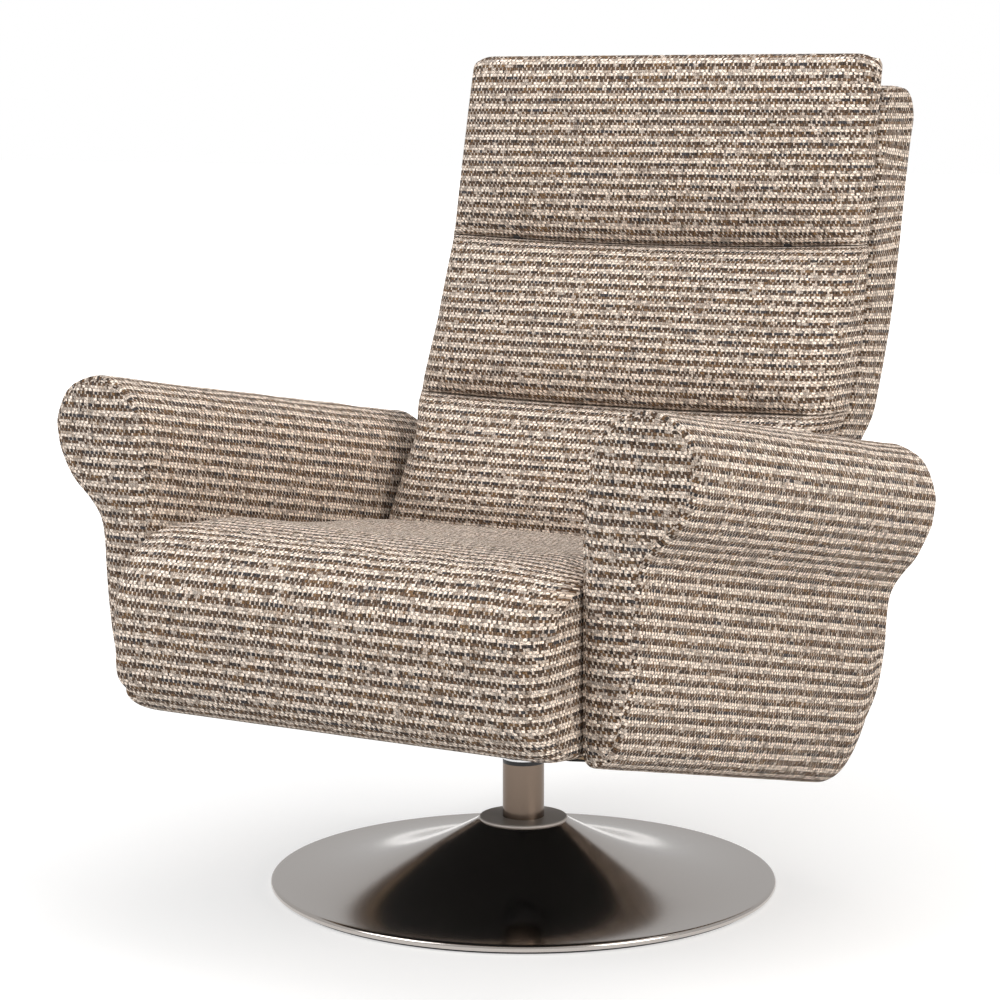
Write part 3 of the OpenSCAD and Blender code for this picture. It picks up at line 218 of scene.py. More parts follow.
powder = coated("steel_powder_coated", (0.022, 0.022, 0.024), 0.42, 700.0, 0.0002)
nylon = coated("nylon_moulded", (0.018, 0.018, 0.019), 0.36, 500.0, 0.0001)
zinc = coated("zinc_plated", (0.56, 0.56, 0.57), 0.34, 420.0, 0.0001, metallic=1.0, fleck=0.08)
bright = coated("washer_polished", (0.72, 0.72, 0.73), 0.18, 420.0, 0.00005, metallic=1.0, fleck=0.04)
finish_nodes(nylon, "lower_bush", "upper_bush", "left_pivot_bush", "right_pivot_bush")
finish_nodes(bright, "thrust_ring")
finish_nodes(powder, "swivel_spindle", "swivel_plate", "front_bar", "rear_bar", "gas_spring_bracket",
             "gas_spring_cylinder", "left_ratchet_base", "right_ratchet_base", "left_ratchet_arm",
             "right_ratchet_arm", "left_ratchet_pin", "right_ratchet_pin", "left_hinge_arm", "right_hinge_arm",
             "cross_tube", "recline_lever")
finish_nodes(zinc, "column_bolts", "spindle_clip", "swivel_bolts", "arm_bolts", "bracket_screws",
             "gas_spring_pin", "lever_pin", "board_screws", "left_hinge_bracket", "right_hinge_bracket",
             "left_pivot_pin", "right_pivot_pin", "rod_fork")
finish_nodes(bright, "gas_spring_rod")


# Frame boards: beech plywood and solid beech rails, sawn and left bare under the cloth. The boards of the back
# are stained, because their edges show when it reclines.

def beech(name, dark, pale, flecked):
    """Beech: grain drawn out along X, with short darker flecks."""
    made, shader, add, link = nodes_of(name)
    place = add("ShaderNodeTexCoord").outputs["Object"]
    drawn = add("ShaderNodeMapping", {"Vector": place, "Scale": (2.0, 60.0, 60.0)}).outputs[0]
    figure = add("ShaderNodeTexNoise", {"Vector": drawn, "Scale": 1.0, "Detail": 5.0, "Distortion": 0.6}).outputs[0]
    fleck = add("ShaderNodeTexNoise", {"Vector": drawn, "Scale": 9.0, "Detail": 2.0}).outputs[0]
    tone = blend_colour(add, figure, dark, pale)
    link(blend_colour(add, calc(add, "MULTIPLY", fleck, 0.35), tone, flecked), "Base Color")
    link(add("ShaderNodeBump", {"Strength": 0.2, "Distance": 0.0004, "Height": figure}).outputs[0], "Normal")
    shader.inputs["Roughness"].default_value = 0.62
    return made


bare = beech("beech_bare", (0.42, 0.27, 0.14, 1), (0.72, 0.53, 0.33, 1), (0.33, 0.19, 0.09, 1))
stained = beech("beech_stained", (0.030, 0.021, 0.016, 1), (0.060, 0.043, 0.032, 1), (0.020, 0.014, 0.010, 1))
finish_nodes(bare, "left_side_rail", "right_side_rail", "front_rail", "rear_rail", "left_arm_board",
             "right_arm_board")
finish_nodes(stained, "back_board", "head_board")


# Webbing and dust cover: woven elastic straps across the seat, and black non-woven cloth stapled
# underneath, so that no frame shows from below.

def strapping(name, colour, pitch, relief):
    """Coarse flat weave on Object coordinates: two sets of ribs at right angles, with painted shade in the grooves
    between them.
    """
    made, shader, add, link = nodes_of(name)
    place = add("ShaderNodeTexCoord").outputs["Object"]
    ribs = [add("ShaderNodeTexWave", {"Vector": place, "Scale": 0.31 / pitch, "Distortion": 0.4},
                bands_direction=axis).outputs[1] for axis in ("X", "Y")]
    height = calc(add, "MULTIPLY", ribs[0], ribs[1])
    # the colour follows the rib height: painted shade darkens the grooves between the ribs, and painted light
    # brightens their tops
    low, high = [c * 0.5 for c in colour] + [1], [c * 1.5 for c in colour] + [1]
    link(blend_colour(add, height, low, high), "Base Color")
    link(add("ShaderNodeBump", {"Strength": 0.5, "Distance": relief, "Height": height}).outputs[0], "Normal")
    shader.inputs["Roughness"].default_value = 0.9
    return made


finish_nodes(strapping("webbing_elastic", (0.05, 0.05, 0.055), 0.0022, 0.0005), "seat_webbing")
finish_nodes(strapping("cover_non_woven", (0.02, 0.02, 0.021), 0.0012, 0.0002), "underside_cover")


# Seat cushion: a foam block with a rolled front, wrapped in wool tweed. The cloth has short dashes of
# space-dyed weft over a cream warp, two dark rows to two pale ones.

yarn_u, yarn_v = 0.00158, 0.00171
column_u, row_v = 4 * yarn_u, 2 * yarn_v
# the dash and the warp cord in shares of a cell
dash_middle, dash_reach, dash_edge, dash_slant = (0.32, 0.5), (0.38, 0.54), 0.12, 0.12
cord_shift, cord_middle, cord_reach, cord_height = 0.32, 0.13, 0.26, 0.80
# painted shade and light from the height of the yarns and their fuzz (the gaps between yarns painted darker, the
# tops lighter), and how far the tone changes at random from dash to dash and from place to place
yarn_height_painted_shade, fuzz_painted_shade_and_tone, painted_shade_offset, darkest_painted_shade = 0.85, 3.2, -1.22, 0.03
dash_light, cloud_light = (0.30, 0.79), (0.14, 0.93)
cream, sand, tan = (1.0, 0.88, 0.77, 1), (0.50, 0.35, 0.25, 1), (0.150, 0.082, 0.042, 1)


def tweed(name):
    """Tweed on the weave map, whose u runs along the weft and v along the warp, in metres.

    The weft shows as short dashes: rows are row_v high and columns column_u wide, and every other row is
    shifted by half a column. Between the dashes a warp cord shows. Two rows of four are dark, in a dye that
    changes along the row; dash = (1 - a squared)(1 - b squared) across a cell, and gives height and painted
    shade: the gaps between the yarns are painted darker and their tops lighter.
    """
    made, shader, add, link = nodes_of(name)
    chart = add("ShaderNodeUVMap", uv_map="weave").outputs[0]
    sway = add("ShaderNodeTexNoise", {"Vector": chart, "Scale": 40.0, "Detail": 3.0, "Roughness": 0.6}).outputs[1]
    swayed = add("ShaderNodeVectorMath", {0: sway, 1: (0.5, 0.5, 0.5)}, operation="SUBTRACT").outputs[0]
    loose = add("ShaderNodeVectorMath", {0: swayed, "Scale": yarn_v * 1.6}, operation="SCALE").outputs[0]
    moved = add("ShaderNodeVectorMath", {0: chart, 1: loose}, operation="ADD").outputs[0]
    place = add("ShaderNodeSeparateXYZ", {0: moved}).outputs
    up = calc(add, "DIVIDE", place[1], row_v)
    row = calc(add, "FLOOR", up)
    lean = calc(add, "MULTIPLY_ADD", calc(add, "FLOORED_MODULO", up, 2.0), dash_slant, -dash_slant)
    offset = calc(add, "MULTIPLY_ADD", calc(add, "FLOORED_MODULO", row, 2.0), 0.5, lean)
    along = calc(add, "MULTIPLY_ADD", place[0], 1 / column_u, offset)
    column = calc(add, "FLOOR", along)
    in_u, in_v = calc(add, "FRACT", along), calc(add, "FRACT", up)

    def hump(value, middle, reach):
        """1 at the middle and 0 at a reach from it: 1 - ((value - middle) / reach) squared."""
        side = calc(add, "DIVIDE", calc(add, "SUBTRACT", value, middle), reach)
        return calc(add, "SUBTRACT", 1.0, calc(add, "MULTIPLY", side, side))

    dash = calc(add, "MULTIPLY", calc(add, "MAXIMUM", hump(in_u, dash_middle[0], dash_reach[0]), 0.0),
                calc(add, "MAXIMUM", hump(in_v, dash_middle[1], dash_reach[1]), 0.0))
    weft_up = calc(add, "GREATER_THAN", dash, dash_edge)
    warp_u = calc(add, "FRACT", calc(add, "ADD", in_u, cord_shift))
    cord = calc(add, "MULTIPLY", calc(add, "MAXIMUM", hump(warp_u, cord_middle, cord_reach), 0.0), cord_height)

    # two chances for each dash, and the rows and columns that run dark
    crossing = add("ShaderNodeCombineXYZ", {0: column, 1: row}).outputs[0]
    chance = add("ShaderNodeTexWhiteNoise", {"Vector": crossing}, noise_dimensions="2D").outputs[0]
    beside = add("ShaderNodeVectorMath", {0: crossing, 1: (7.3, 3.1, 0)}, operation="ADD").outputs[0]
    other = add("ShaderNodeTexWhiteNoise", {"Vector": beside}, noise_dimensions="2D").outputs[0]
    of_four = calc(add, "FLOORED_MODULO", row, 4.0)
    dark_row = calc(add, "LESS_THAN", of_four, 1.5)
    wide = calc(add, "FLOOR", calc(add, "DIVIDE", place[0], column_u))
    dark_column = calc(add, "LESS_THAN", calc(add, "FLOORED_MODULO", wide, 2.0), 0.5)

    # the dye changes slowly along a row, and a little from dash to dash
    band = calc(add, "FLOOR", calc(add, "DIVIDE", row, 4.0))
    dye_at = add("ShaderNodeCombineXYZ", {0: calc(add, "MULTIPLY", place[0], 26.0),
                                          1: calc(add, "MULTIPLY", band, 3.7),
                                          2: calc(add, "MULTIPLY", row, 1.3)}).outputs[0]
    dye = add("ShaderNodeTexNoise", {"Vector": dye_at, "Scale": 1.0, "Detail": 3.0, "Roughness": 0.65}).outputs[0]
    dye = calc(add, "MULTIPLY_ADD", calc(add, "SUBTRACT", chance, 0.5), 0.12, dye)
    ramp = add("ShaderNodeValToRGB", {0: dye})
    stops = [(0.30, (0.014, 0.013, 0.016)), (0.38, (0.036, 0.037, 0.046)), (0.43, (0.013, 0.010, 0.010)),
             (0.49, (0.085, 0.046, 0.026)), (0.54, (0.018, 0.013, 0.011)), (0.60, (0.190, 0.105, 0.046)),
             (0.67, (0.020, 0.015, 0.014))]
    while len(ramp.color_ramp.elements) < len(stops):
        ramp.color_ramp.elements.new(0.5)
    for element, (at, colour) in zip(ramp.color_ramp.elements, stops):
        element.position = at
        element.color = (*colour, 1)
    under_row = calc(add, "LESS_THAN", of_four, 0.5)
    dyed = blend_colour(add, calc(add, "MULTIPLY", under_row, 0.5), ramp.outputs[0], tan)
    # the pale yarns are cream with sand, and some pale dashes take up the dye
    pale = add("ShaderNodeTexNoise", {"Vector": moved, "Scale": 420.0, "Detail": 3.0}).outputs[0]
    pale_share = add("ShaderNodeMapRange", {0: pale, 1: 0.40, 2: 0.66}).outputs[0]
    light = blend_colour(add, calc(add, "MULTIPLY", pale_share, 0.7), cream, sand)
    next_row = calc(add, "GREATER_THAN", of_four, 2.5)
    often = calc(add, "MULTIPLY_ADD", next_row, -0.22, 0.80)
    tinted = calc(add, "MULTIPLY", calc(add, "GREATER_THAN", chance, often), 0.55)
    weft_light = blend_colour(add, tinted, light, ramp.outputs[0])
    strength = calc(add, "MULTIPLY_ADD", calc(add, "LESS_THAN", chance, 0.06), -0.5, 0.97)
    warp_dark = calc(add, "MULTIPLY_ADD", calc(add, "GREATER_THAN", other, 0.64), 0.5,
                     calc(add, "MULTIPLY_ADD", dark_column, 0.30, 0.12))
    warp = blend_colour(add, warp_dark, light, ramp.outputs[0])
    weft = blend_colour(add, calc(add, "MULTIPLY", dark_row, strength), weft_light, dyed)
    colour = blend_colour(add, weft_up, warp, weft)

    # height of the yarns and the fuzz of the wool, which also give painted shade: the gaps between the yarns are
    # painted darker and the tops lighter
    full_dash = calc(add, "MINIMUM", calc(add, "MULTIPLY", dash, 1.7), 1.0)
    over = add("ShaderNodeMix", {0: weft_up, 2: cord, 3: full_dash}).outputs[0]
    fuzz = add("ShaderNodeTexNoise", {"Vector": chart, "Scale": 640.0, "Detail": 2.0, "Roughness": 0.6}).outputs[0]
    height = calc(add, "ADD", over, calc(add, "MULTIPLY", fuzz, 0.6))
    cloud = add("ShaderNodeTexNoise", {"Vector": chart, "Scale": 5.0, "Detail": 2.0}).outputs[0]
    # painted shade from yarn height and fuzz, times random tone from dash to dash and from place to place
    tone_and_painted_shade = calc(add, "MULTIPLY_ADD", over, yarn_height_painted_shade, calc(add, "MULTIPLY_ADD", fuzz, fuzz_painted_shade_and_tone, painted_shade_offset))
    tone_and_painted_shade = calc(add, "MULTIPLY", tone_and_painted_shade, calc(add, "MULTIPLY_ADD", other, *dash_light))
    tone_and_painted_shade = calc(add, "MULTIPLY", tone_and_painted_shade, calc(add, "MULTIPLY_ADD", cloud, *cloud_light))
    tone_and_painted_shade = calc(add, "MAXIMUM", darkest_painted_shade, tone_and_painted_shade)
    link(add("ShaderNodeVectorMath", {0: colour, "Scale": tone_and_painted_shade}, operation="SCALE").outputs[0], "Base Color")
    link(add("ShaderNodeBump", {"Strength": 0.6, "Distance": 0.0008, "Height": height}).outputs[0], "Normal")
    shader.inputs["Roughness"].default_value = 0.9
    shader.inputs["Specular IOR Level"].default_value = 0.08
    shader.inputs["Sheen Weight"].default_value = 0.03
    shader.inputs["Sheen Roughness"].default_value = 0.5
    return made


cloth = tweed("tweed_checked")


def rounded_loop(corners, spans, arc_steps=8):
    """Closed outline through corners [a, b, radius], each rounded by its radius.

    spans gives the number of steps on the straight run after each corner, so that outlines with the same spans
    match point for point. The first point comes again at the end.
    """
    corner = np.asarray(corners, float)
    here, before, after = corner[:, :2], np.roll(corner[:, :2], 1, 0), np.roll(corner[:, :2], -1, 0)
    to_before = (before - here) / np.linalg.norm(before - here, axis=1)[:, None]
    to_after = (after - here) / np.linalg.norm(after - here, axis=1)[:, None]
    half_angle = np.arccos(np.clip((to_before * to_after).sum(1), -1, 1)) / 2
    cut = (corner[:, 2] / np.tan(half_angle))[:, None]
    bisector = to_before + to_after
    bisector /= np.linalg.norm(bisector, axis=1)[:, None]
    centre = here + bisector * (corner[:, 2] / np.sin(half_angle))[:, None]
    first, last = here + to_before * cut, here + to_after * cut
    t = np.linspace(0, 1, arc_steps + 1)[None, :, None]
    turn = (np.pi - 2 * half_angle)[:, None, None]
    a, b = (first - centre)[:, None, :], (last - centre)[:, None, :]
    arcs = centre[:, None, :] + (a * np.sin((1 - t) * turn) + b * np.sin(t * turn)) / np.sin(turn)
    parts = []
    for k, span in enumerate(spans):
        run = np.linspace(last[k], first[(k + 1) % len(corner)], span + 1)[1:-1]
        parts += [arcs[k], run]
    return np.concatenate(parts + [arcs[0][:1]])


def crown(t, power=4.0):
    """Full over the middle and nothing at both ends of 0 to 1: 1 - |2 t - 1| ** power."""
    return 1 - np.abs(2 * np.clip(t, 0, 1) - 1) ** power


def edge_fall(distance, radius):
    """How far a rounded edge lies below the flat, at a distance inside the edge."""
    inside = np.clip(radius - distance, 0, radius)
    return radius - np.sqrt(radius ** 2 - inside ** 2)


def lengths(points):
    """Distance run along the points of each row of a grid, from its first point."""
    step = np.linalg.norm(np.diff(points, axis=-2), axis=-1)
    return np.concatenate([np.zeros_like(step[..., :1]), np.cumsum(step, -1)], -1)


def ripple(a, b, seed, wave=0.09):
    """Soft unevenness of stuffed cloth between -1 and 1: a few slow waves in seeded directions."""
    rng = np.random.default_rng(seed)
    total = 0 * a
    for _ in range(7):
        way = rng.uniform(0, 2 * np.pi)
        k = 2 * np.pi / (wave * rng.uniform(0.7, 2.2))
        total = total + np.sin(k * (a * np.cos(way) + b * np.sin(way)) + rng.uniform(0, 6.28))
    return total / 7


def cap(ring, chart, spine, spine_chart, steps, bulge):
    """Grid that closes a ring: its points run in to a spine, and stand out by bulge in between."""
    k = np.linspace(0, 1, steps + 1)[:, None, None]
    rise = np.sin(np.pi / 2 * np.minimum(1, k * 2)) * np.asarray(bulge, float)
    grid = ring[None] * (1 - k) + spine[None] * k + rise
    return grid, chart[None] * (1 - k) + spine_chart[None] * k


seat_half, seat_front, joint_y, joint_z = 0.280, -0.439, 0.100, 0.409
seat_low, seat_high, roll_r = 0.262, 0.444, 0.068
seat_spans, seat_arc_steps = [9, 7, 46, 12, 56, 14], 20
rear_end = 148  # the last point of the section on the rear wall


def seat_section(back, down, up):
    """Side view [y, z] of the seat, drawn back at the front, down at the top and up at the bottom."""
    return rounded_loop([
        (seat_front + back, seat_low + up, 0.046), (-0.344, 0.254 + up / 4, 0.004), (-0.344, 0.319, 0.003),
        (joint_y - 0.0005, 0.296, 0.003), (joint_y - 0.0005, joint_z, 0.012),
        (seat_front + back, seat_high - down, roll_r)], seat_spans, seat_arc_steps)


corner_r, top_r, low_left_r, low_right_r = 0.028, 0.008, 0.042, 0.010
inner = seat_half - corner_r
turn = np.linspace(np.pi / 2, 0.06, 14)
x = np.concatenate([-inner - corner_r * np.sin(turn), np.linspace(-inner, inner, 53),
                    inner + corner_r * np.sin(turn[::-1])])
round_run = np.sign(x) * (np.minimum(np.abs(x), inner)
                          + corner_r * np.arcsin(np.clip((np.abs(x) - inner) / corner_r, 0, 1)))
low_r = np.where(x < 0, low_left_r, low_right_r)
back, down, up = (edge_fall(seat_half - np.abs(x), radius) for radius in (corner_r, top_r, low_r))
section = np.array([seat_section(*falls) for falls in zip(back, down, up)])
across = crown((x / seat_half + 1) / 2, 14.0)[:, None]
y, z = section[..., 0], section[..., 1]
on_top = np.clip((z - 0.395) / 0.012, 0, 1)
on_front = np.clip((-0.395 - y) / 0.03, 0, 1)
top_t = (y - seat_front) / (joint_y - seat_front)
up_t = (z - seat_low) / (seat_high - seat_low)
# the foam stands fullest some way behind the front edge, more so at the left of the photo
full_y, full_reach, full_rise = -0.285, 0.115, 0.015
fuller = (0.85 - 0.33 * x / seat_half)[:, None]
full = (full_rise * fuller * np.exp(-((y - full_y) / full_reach) ** 2)
        * np.clip((y + 0.43) / 0.08, 0, 1) * on_top)
lift = 0.014 * across * crown(top_t, 5.0) * on_top + full
push = 0.008 * across * crown(up_t, 3.0) * on_front
u = x[:, None] + 0 * y
run = lengths(np.stack([u * 0, y, z], -1))
# the weft rows stay level: height is the second coordinate down the front, and the run goes on over the top
past_rear = np.arange(y.shape[1]) > rear_end
v = np.where(past_rear[None], run[:, -1:] - run, -run) + z[:, :1]
soft = ripple(u, v, 3) * 0.0012 * across


def groove(a, b, start, end, width):
    """1 along the segment from start to end on the grid a, b, falling off as exp(-(distance / width) squared)."""
    start, way = np.array(start), np.array(end) - np.array(start)
    t = np.clip(((a - start[0]) * way[0] + (b - start[1]) * way[1]) / (way @ way), 0, 1)
    return np.exp(-(np.hypot(a - start[0] - t * way[0], b - start[1] - t * way[1]) / width) ** 2)


# a tuck is pinched under each front corner, deeper at the left of the photo
tuck_depth, tuck_width, tuck_start, tuck_end = np.where(u < 0, 0.007, 0.002), 0.005, (0.286, 0.300), (0.240, 0.272)
tuck = tuck_depth * sum(groove(u, z, (side * tuck_start[0], tuck_start[1]), (side * tuck_end[0], tuck_end[1]),
                               tuck_width) for side in (-1, 1)) * (y < -0.39)
# the sitter's rear corners press the cloth into shallow hollows beside the arms
hollow_depth, hollow_x, hollow_width = 0.004, 0.262, 0.02
hollow = (hollow_depth * np.exp(-((np.abs(u) - hollow_x) / hollow_width) ** 2)
          * on_top * np.clip((y + 0.33) / 0.05, 0, 1))
seat_grid = np.stack([u - np.sign(u) * tuck, y - push - soft * on_front + tuck,
                      z + lift + soft * on_top - hollow], -1)
front_share = np.clip((seat_high - z) / 0.02, 0, 1) * (y < -0.38)
seat_chart = np.stack([u + (round_run[:, None] - u) * front_share, v], -1)
patches = [(seat_grid, seat_chart)]
for end in (0, -1):
    ring = seat_grid[end]
    spine = np.stack([ring[:, 0], np.clip(ring[:, 1], -0.385, 0.03), 0 * ring[:, 2] + 0.352], -1)
    way = math.copysign(1.0, ring[0, 0])
    corner_u = way * (inner + corner_r * np.pi / 2)
    side_chart = np.stack([corner_u + way * (ring[:, 1] - seat_front - corner_r), ring[:, 2]], -1)
    spine_chart = np.stack([corner_u + way * (spine[:, 1] - seat_front - corner_r), spine[:, 2]], -1)
    bulge = (way * 0.0006, 0, 0)
    patches.append(cap(ring, side_chart, spine, spine_chart, 14, bulge))
seat = piece_of("seat_cushion_tweed", patches, cloth, 1)
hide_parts("seat_cushion")
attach(seat, "seat")


# Arms: a board with a rolled top, padded with foam and covered in tweed. The long cover is sewn
# to a flat front panel and a flat rear panel, and the seam shows round both.

arm_inner, arm_w = 0.281, 0.138
arm_front, arm_rear = -0.355, 0.235
lean_back, roll_back, swell_back = 0.034, 0.006, 0.010
arm_taper, arm_swell, arm_clear = 0.005, 0.007, 0.0006
arm_low, arm_high = 0.247, 0.628
low_slope, high_slope = 0.232, 0.1583
arm_edge, heel_r = 0.007, 0.042
arm_shares = np.array([
    [0, 0.04], [0, 0.13], [0, 0.22], [0, 0.33], [0, 0.45], [0, 0.56], [0, 0.664], [0.014, 0.743],
    [0.043, 0.811], [0.109, 0.9], [0.254, 0.963], [0.5, 1], [0.754, 0.979], [0.899, 0.942],
    [1, 0.866], [0.993, 0.811], [0.957, 0.761], [0.833, 0.685], [0.659, 0.625], [0.55, 0.572],
    [0.512, 0.507], [0.5, 0.425], [0.478, 0.315], [0.435, 0.202], [0.355, 0.089], [0.25, 0.025],
    [0.08, 0.002]])


def smooth_loop(points, count):
    """Even points on a closed curve through the given ones: a Catmull-Rom curve, walked at equal steps."""
    p0, p1, p2, p3 = (np.roll(points, -k, 0)[:, None] for k in (-1, 0, 1, 2))
    t = np.linspace(0, 1, 24, endpoint=False)[None, :, None]
    curve = 0.5 * (2 * p1 + (p2 - p0) * t + (2 * p0 - 5 * p1 + 4 * p2 - p3) * t ** 2
                   + (3 * p1 - p0 - 3 * p2 + p3) * t ** 3)
    curve = curve.reshape(-1, points.shape[1])
    curve = np.concatenate([curve, curve[:1]])
    run = lengths(curve)
    at = np.linspace(0, run[-1], count + 1)
    return np.stack([np.interp(at, run, curve[:, k]) for k in range(points.shape[1])], -1)


def arm_piece(name, side):
    """The outline runs up the inner face, over the roll and down the outside, and is carried back along Y.

    Height at a station is low(y) + share (high(y) - low(y)), both lines falling to the rear. The underside
    turns up round the heel, and the rear face leans back towards the roll.
    """
    outline_size = [arm_w, arm_high - arm_low]
    shares = smooth_loop(arm_shares * outline_size, 150) / outline_size
    shares[:, 0] = np.maximum(shares[:, 0], 0)
    w = shares[:, 1]
    along = np.concatenate([[0, 0.0012, 0.003, 0.005, 0.007], np.linspace(0.014, 0.90, 68),
                            np.linspace(0.908, 0.986, 14), [0.990, 0.993, 0.995, 0.997, 0.9988, 1]])
    roll = np.clip((w - 0.68) / 0.12, 0, 1)
    roll = roll * roll * (3 - 2 * roll)
    rear = arm_rear + lean_back * w + roll_back * roll + swell_back * crown(w / 0.8, 2.0)
    arm_run = along * (arm_rear - arm_front)
    tail_run = (1 - along) * (arm_rear - arm_front)
    inset = edge_fall(np.minimum(arm_run, tail_run), arm_edge)
    y = arm_front + (rear[None] - arm_front) * along[:, None]
    low = arm_low - low_slope * (y - arm_front)
    high = arm_high - high_slope * (y - arm_front)
    taper = arm_taper * along[:, None] * np.clip(shares[:, 0] * 2 - 1, 0, 1)[None]
    wider = arm_swell * along[:, None] * (crown(w / 0.72, 2.0) * np.clip(shares[:, 0] * 4 - 0.8, 0, 1))[None]
    x = arm_inner + arm_clear + shares[:, 0][None] * arm_w - taper + wider
    heel = edge_fall(np.maximum(arm_rear - y, 0), heel_r) * np.maximum(1 - w / 0.45, 0)[None]
    z = low + (high - low) * w[None] + heel
    step = np.roll(shares[:-1], -1, 0) - np.roll(shares[:-1], 1, 0)
    step = np.concatenate([step, step[:1]]) * outline_size
    inward = np.stack([step[:, 1], -step[:, 0]], -1) / np.linalg.norm(step, axis=1)[:, None]
    girth = lengths(shares * outline_size)
    outer = np.clip((shares[:, 0] - 0.05) / 0.2, 0, 1)[None]
    sway = ripple(y, girth[None] + 0 * y, 11) * 0.0013 * outer
    x = x + inward[:, 0][None] * (inset[:, None] - sway)
    z = z + inward[:, 1][None] * (inset[:, None] - sway)
    grid = np.stack([x * side, y, z], -1)
    round_off = lengths(np.stack([arm_run, inset], -1)) - arm_run
    chart = np.stack([y + round_off[:, None], 0 * y + girth[None]], -1)
    patches = [(grid, chart)]
    for end, out in ((0, -0.004), (-1, 0.006)):
        ring = grid[end]
        lowest, highest = ring[:, 2].min(), ring[:, 2].max()
        mid_z = np.clip(ring[:, 2], lowest + 0.045, highest - 0.062)
        lean = np.clip((mid_z - (lowest + 0.22)) / 0.10, 0, 1)
        mid_x = side * (arm_inner + 0.032 + 0.036 * lean)
        order = np.argsort(ring[:, 2])
        mid_y = np.interp(mid_z, ring[order, 2], ring[order, 1])
        spine = np.stack([mid_x, mid_y, mid_z], -1)
        face_chart = np.stack([ring[:, 0], ring[:, 2]], -1)
        spine_chart = np.stack([spine[:, 0], spine[:, 2]], -1)
        patches.append(cap(ring, face_chart, spine, spine_chart, 12, (0, out, 0)))
    made = piece_of(name, patches, cloth, 1)
    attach(made, "seat")
    return made


left_arm = arm_piece("left_arm_tweed", 1)
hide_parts("left_arm")
right_arm = arm_piece("right_arm_tweed", -1)
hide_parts("right_arm")


# Back cushions: lumbar, middle and headrest pads, one under the other, each a foam block that
# swells between the creases and is sewn to flat side panels.

back_half = 0.279
pivot = np.array([0.172, 0.330])
low_crease, high_crease, top = np.array([0.203, 0.565]), np.array([0.297, 0.764]), np.array([0.349, 0.988])


def side_line(z):
    """Half width of the back at a height: it widens over the arms by 14 mm."""
    t = np.clip((z - low_crease[1]) / 0.060 + 1, 0, 1)
    return back_half + 0.014 * t * t * (3 - 2 * t)


def board_line(z):
    """Distance back of the boards' front at a height, with a knee at the middle cushion and at the crease."""
    return np.interp(z, [0.330, 0.655, 0.764, 0.988], [0.172, 0.323, 0.338, 0.374])


def pad_piece(name, front, rear, swell, half, v_start, seed, setback=0.0, front_r=0.040, rear_r=0.010,
              top_bulge=0.0, top_bow=0.0, sags=(0.0, 0.0)):
    """Rings round the pad from its front to its rear line, stacked upwards; the front stands out by swell.

    front and rear are matching lists of [y, z]; swell is the crown and half the half width at each of them.
    The setback of the creases fades towards the sides. The weave runs round the ring and up the front line.
    sags gives how far the lower and the upper front edge hang in the middle: sag * (1 - (x / half) squared).
    """
    thick = np.linalg.norm(rear - front, axis=1)
    rings = []
    for t, h in zip(thick, half):
        f, r = min(front_r, 0.45 * t), min(rear_r, 0.4 * t)
        rings.append(rounded_loop([(-h, 0, f), (h, 0, f), (h, t, r), (-h, t, r)], [72, 12, 24, 12]))
    rings = np.array(rings)
    x, depth = rings[..., 0], rings[..., 1]
    rise_v = lengths(front)[:, None] + 0 * x
    near_front = np.clip(1 - depth / 0.03, 0, 1)
    half = half[:, None]
    across = crown((x / half + 1) / 2, 6.0)
    near_side = np.clip((np.abs(x) - half + 0.055) / 0.05, 0, 1)
    shallow = near_side * 0.38 + 0.52 + 0.10 * ripple(x, 0 * x, seed + 40, 0.07)
    puff = (swell[:, None] * across + ripple(x, rise_v, seed) * 0.0016 * across
            + np.reshape(setback, (-1, 1)) * shallow) * near_front
    bow = -0.002 * crown(rise_v / rise_v.max(), 2.0) * np.clip((np.abs(x) - half + 0.004) / 0.004, 0, 1)
    bow = bow * crown(depth / thick[:, None], 2.0)
    way = (rear - front) / thick[:, None]
    place = front[:, None, :] + way[:, None, :] * (depth - puff)[..., None]
    near_top = np.clip(rise_v / rise_v.max() * 4 - 3, 0, 1) ** 2
    lift = top_bow * near_top * (1 - 2.5 * edge_fall(half - np.abs(x), 0.030) / 0.030)
    from_ends = (rise_v, rise_v.max() - rise_v)
    hang = sum(sag * np.clip(1 - run / 0.09, 0, 1) ** 2 for sag, run in zip(sags, from_ends))
    lift = lift - hang * crown((x / half + 1) / 2, 2.0) * near_front
    grid = np.stack([x + np.sign(x) * bow, place[..., 0], place[..., 1] + lift], -1)
    chart = np.stack([lengths(rings) - half, rise_v + v_start], -1)
    patches = [(grid, chart)]
    for end in (0, -1):
        ring, t = grid[end], thick[end]
        mid = (front[end] + rear[end]) / 2
        reach = half[end] - t / 2
        spine = np.stack([np.clip(ring[:, 0], -reach, reach),
                          mid[0] + 0 * ring[:, 0], mid[1] + 0 * ring[:, 0]], -1)
        turn_chart = np.stack([ring[:, 0], chart[end, :, 1] + depth[end]], -1)
        spine_chart = np.stack([spine[:, 0], chart[end, :, 1] + t / 2], -1)
        patches.append(cap(ring, turn_chart, spine, spine_chart, 6, (0, 0, top_bulge if end else 0)))
    made = piece_of(name, patches, cloth, 1)
    return made


quarter_points = 9


def crease_line(low, high, low_r, high_r, count):
    """Front line between two creases, set back by a quarter round at each, with closer points there."""
    span = np.linalg.norm(high - low)
    quarter = 1 - np.cos(np.linspace(0, np.pi / 2, quarter_points))
    start, finish = low_r * quarter, high_r * quarter
    t = np.concatenate([start / span, np.linspace(low_r / span, 1 - high_r / span, count)[1:-1],
                        1 - finish[::-1] / span])
    setback = edge_fall(t * span, low_r) + edge_fall((1 - t) * span, high_r)
    line = low + (high - low) * t[:, None] + np.stack([setback, 0 * setback], -1)
    return line, t, setback


crease_r, low_sag, high_sag = 0.026, 0.006, 0.008
lumbar_swell, middle_swell, head_swell = 0.026, 0.025, 0.024
head_top_r, head_narrowing, hidden_points = 0.010, 0.002, 10
gap = np.array([0, 0.0004])

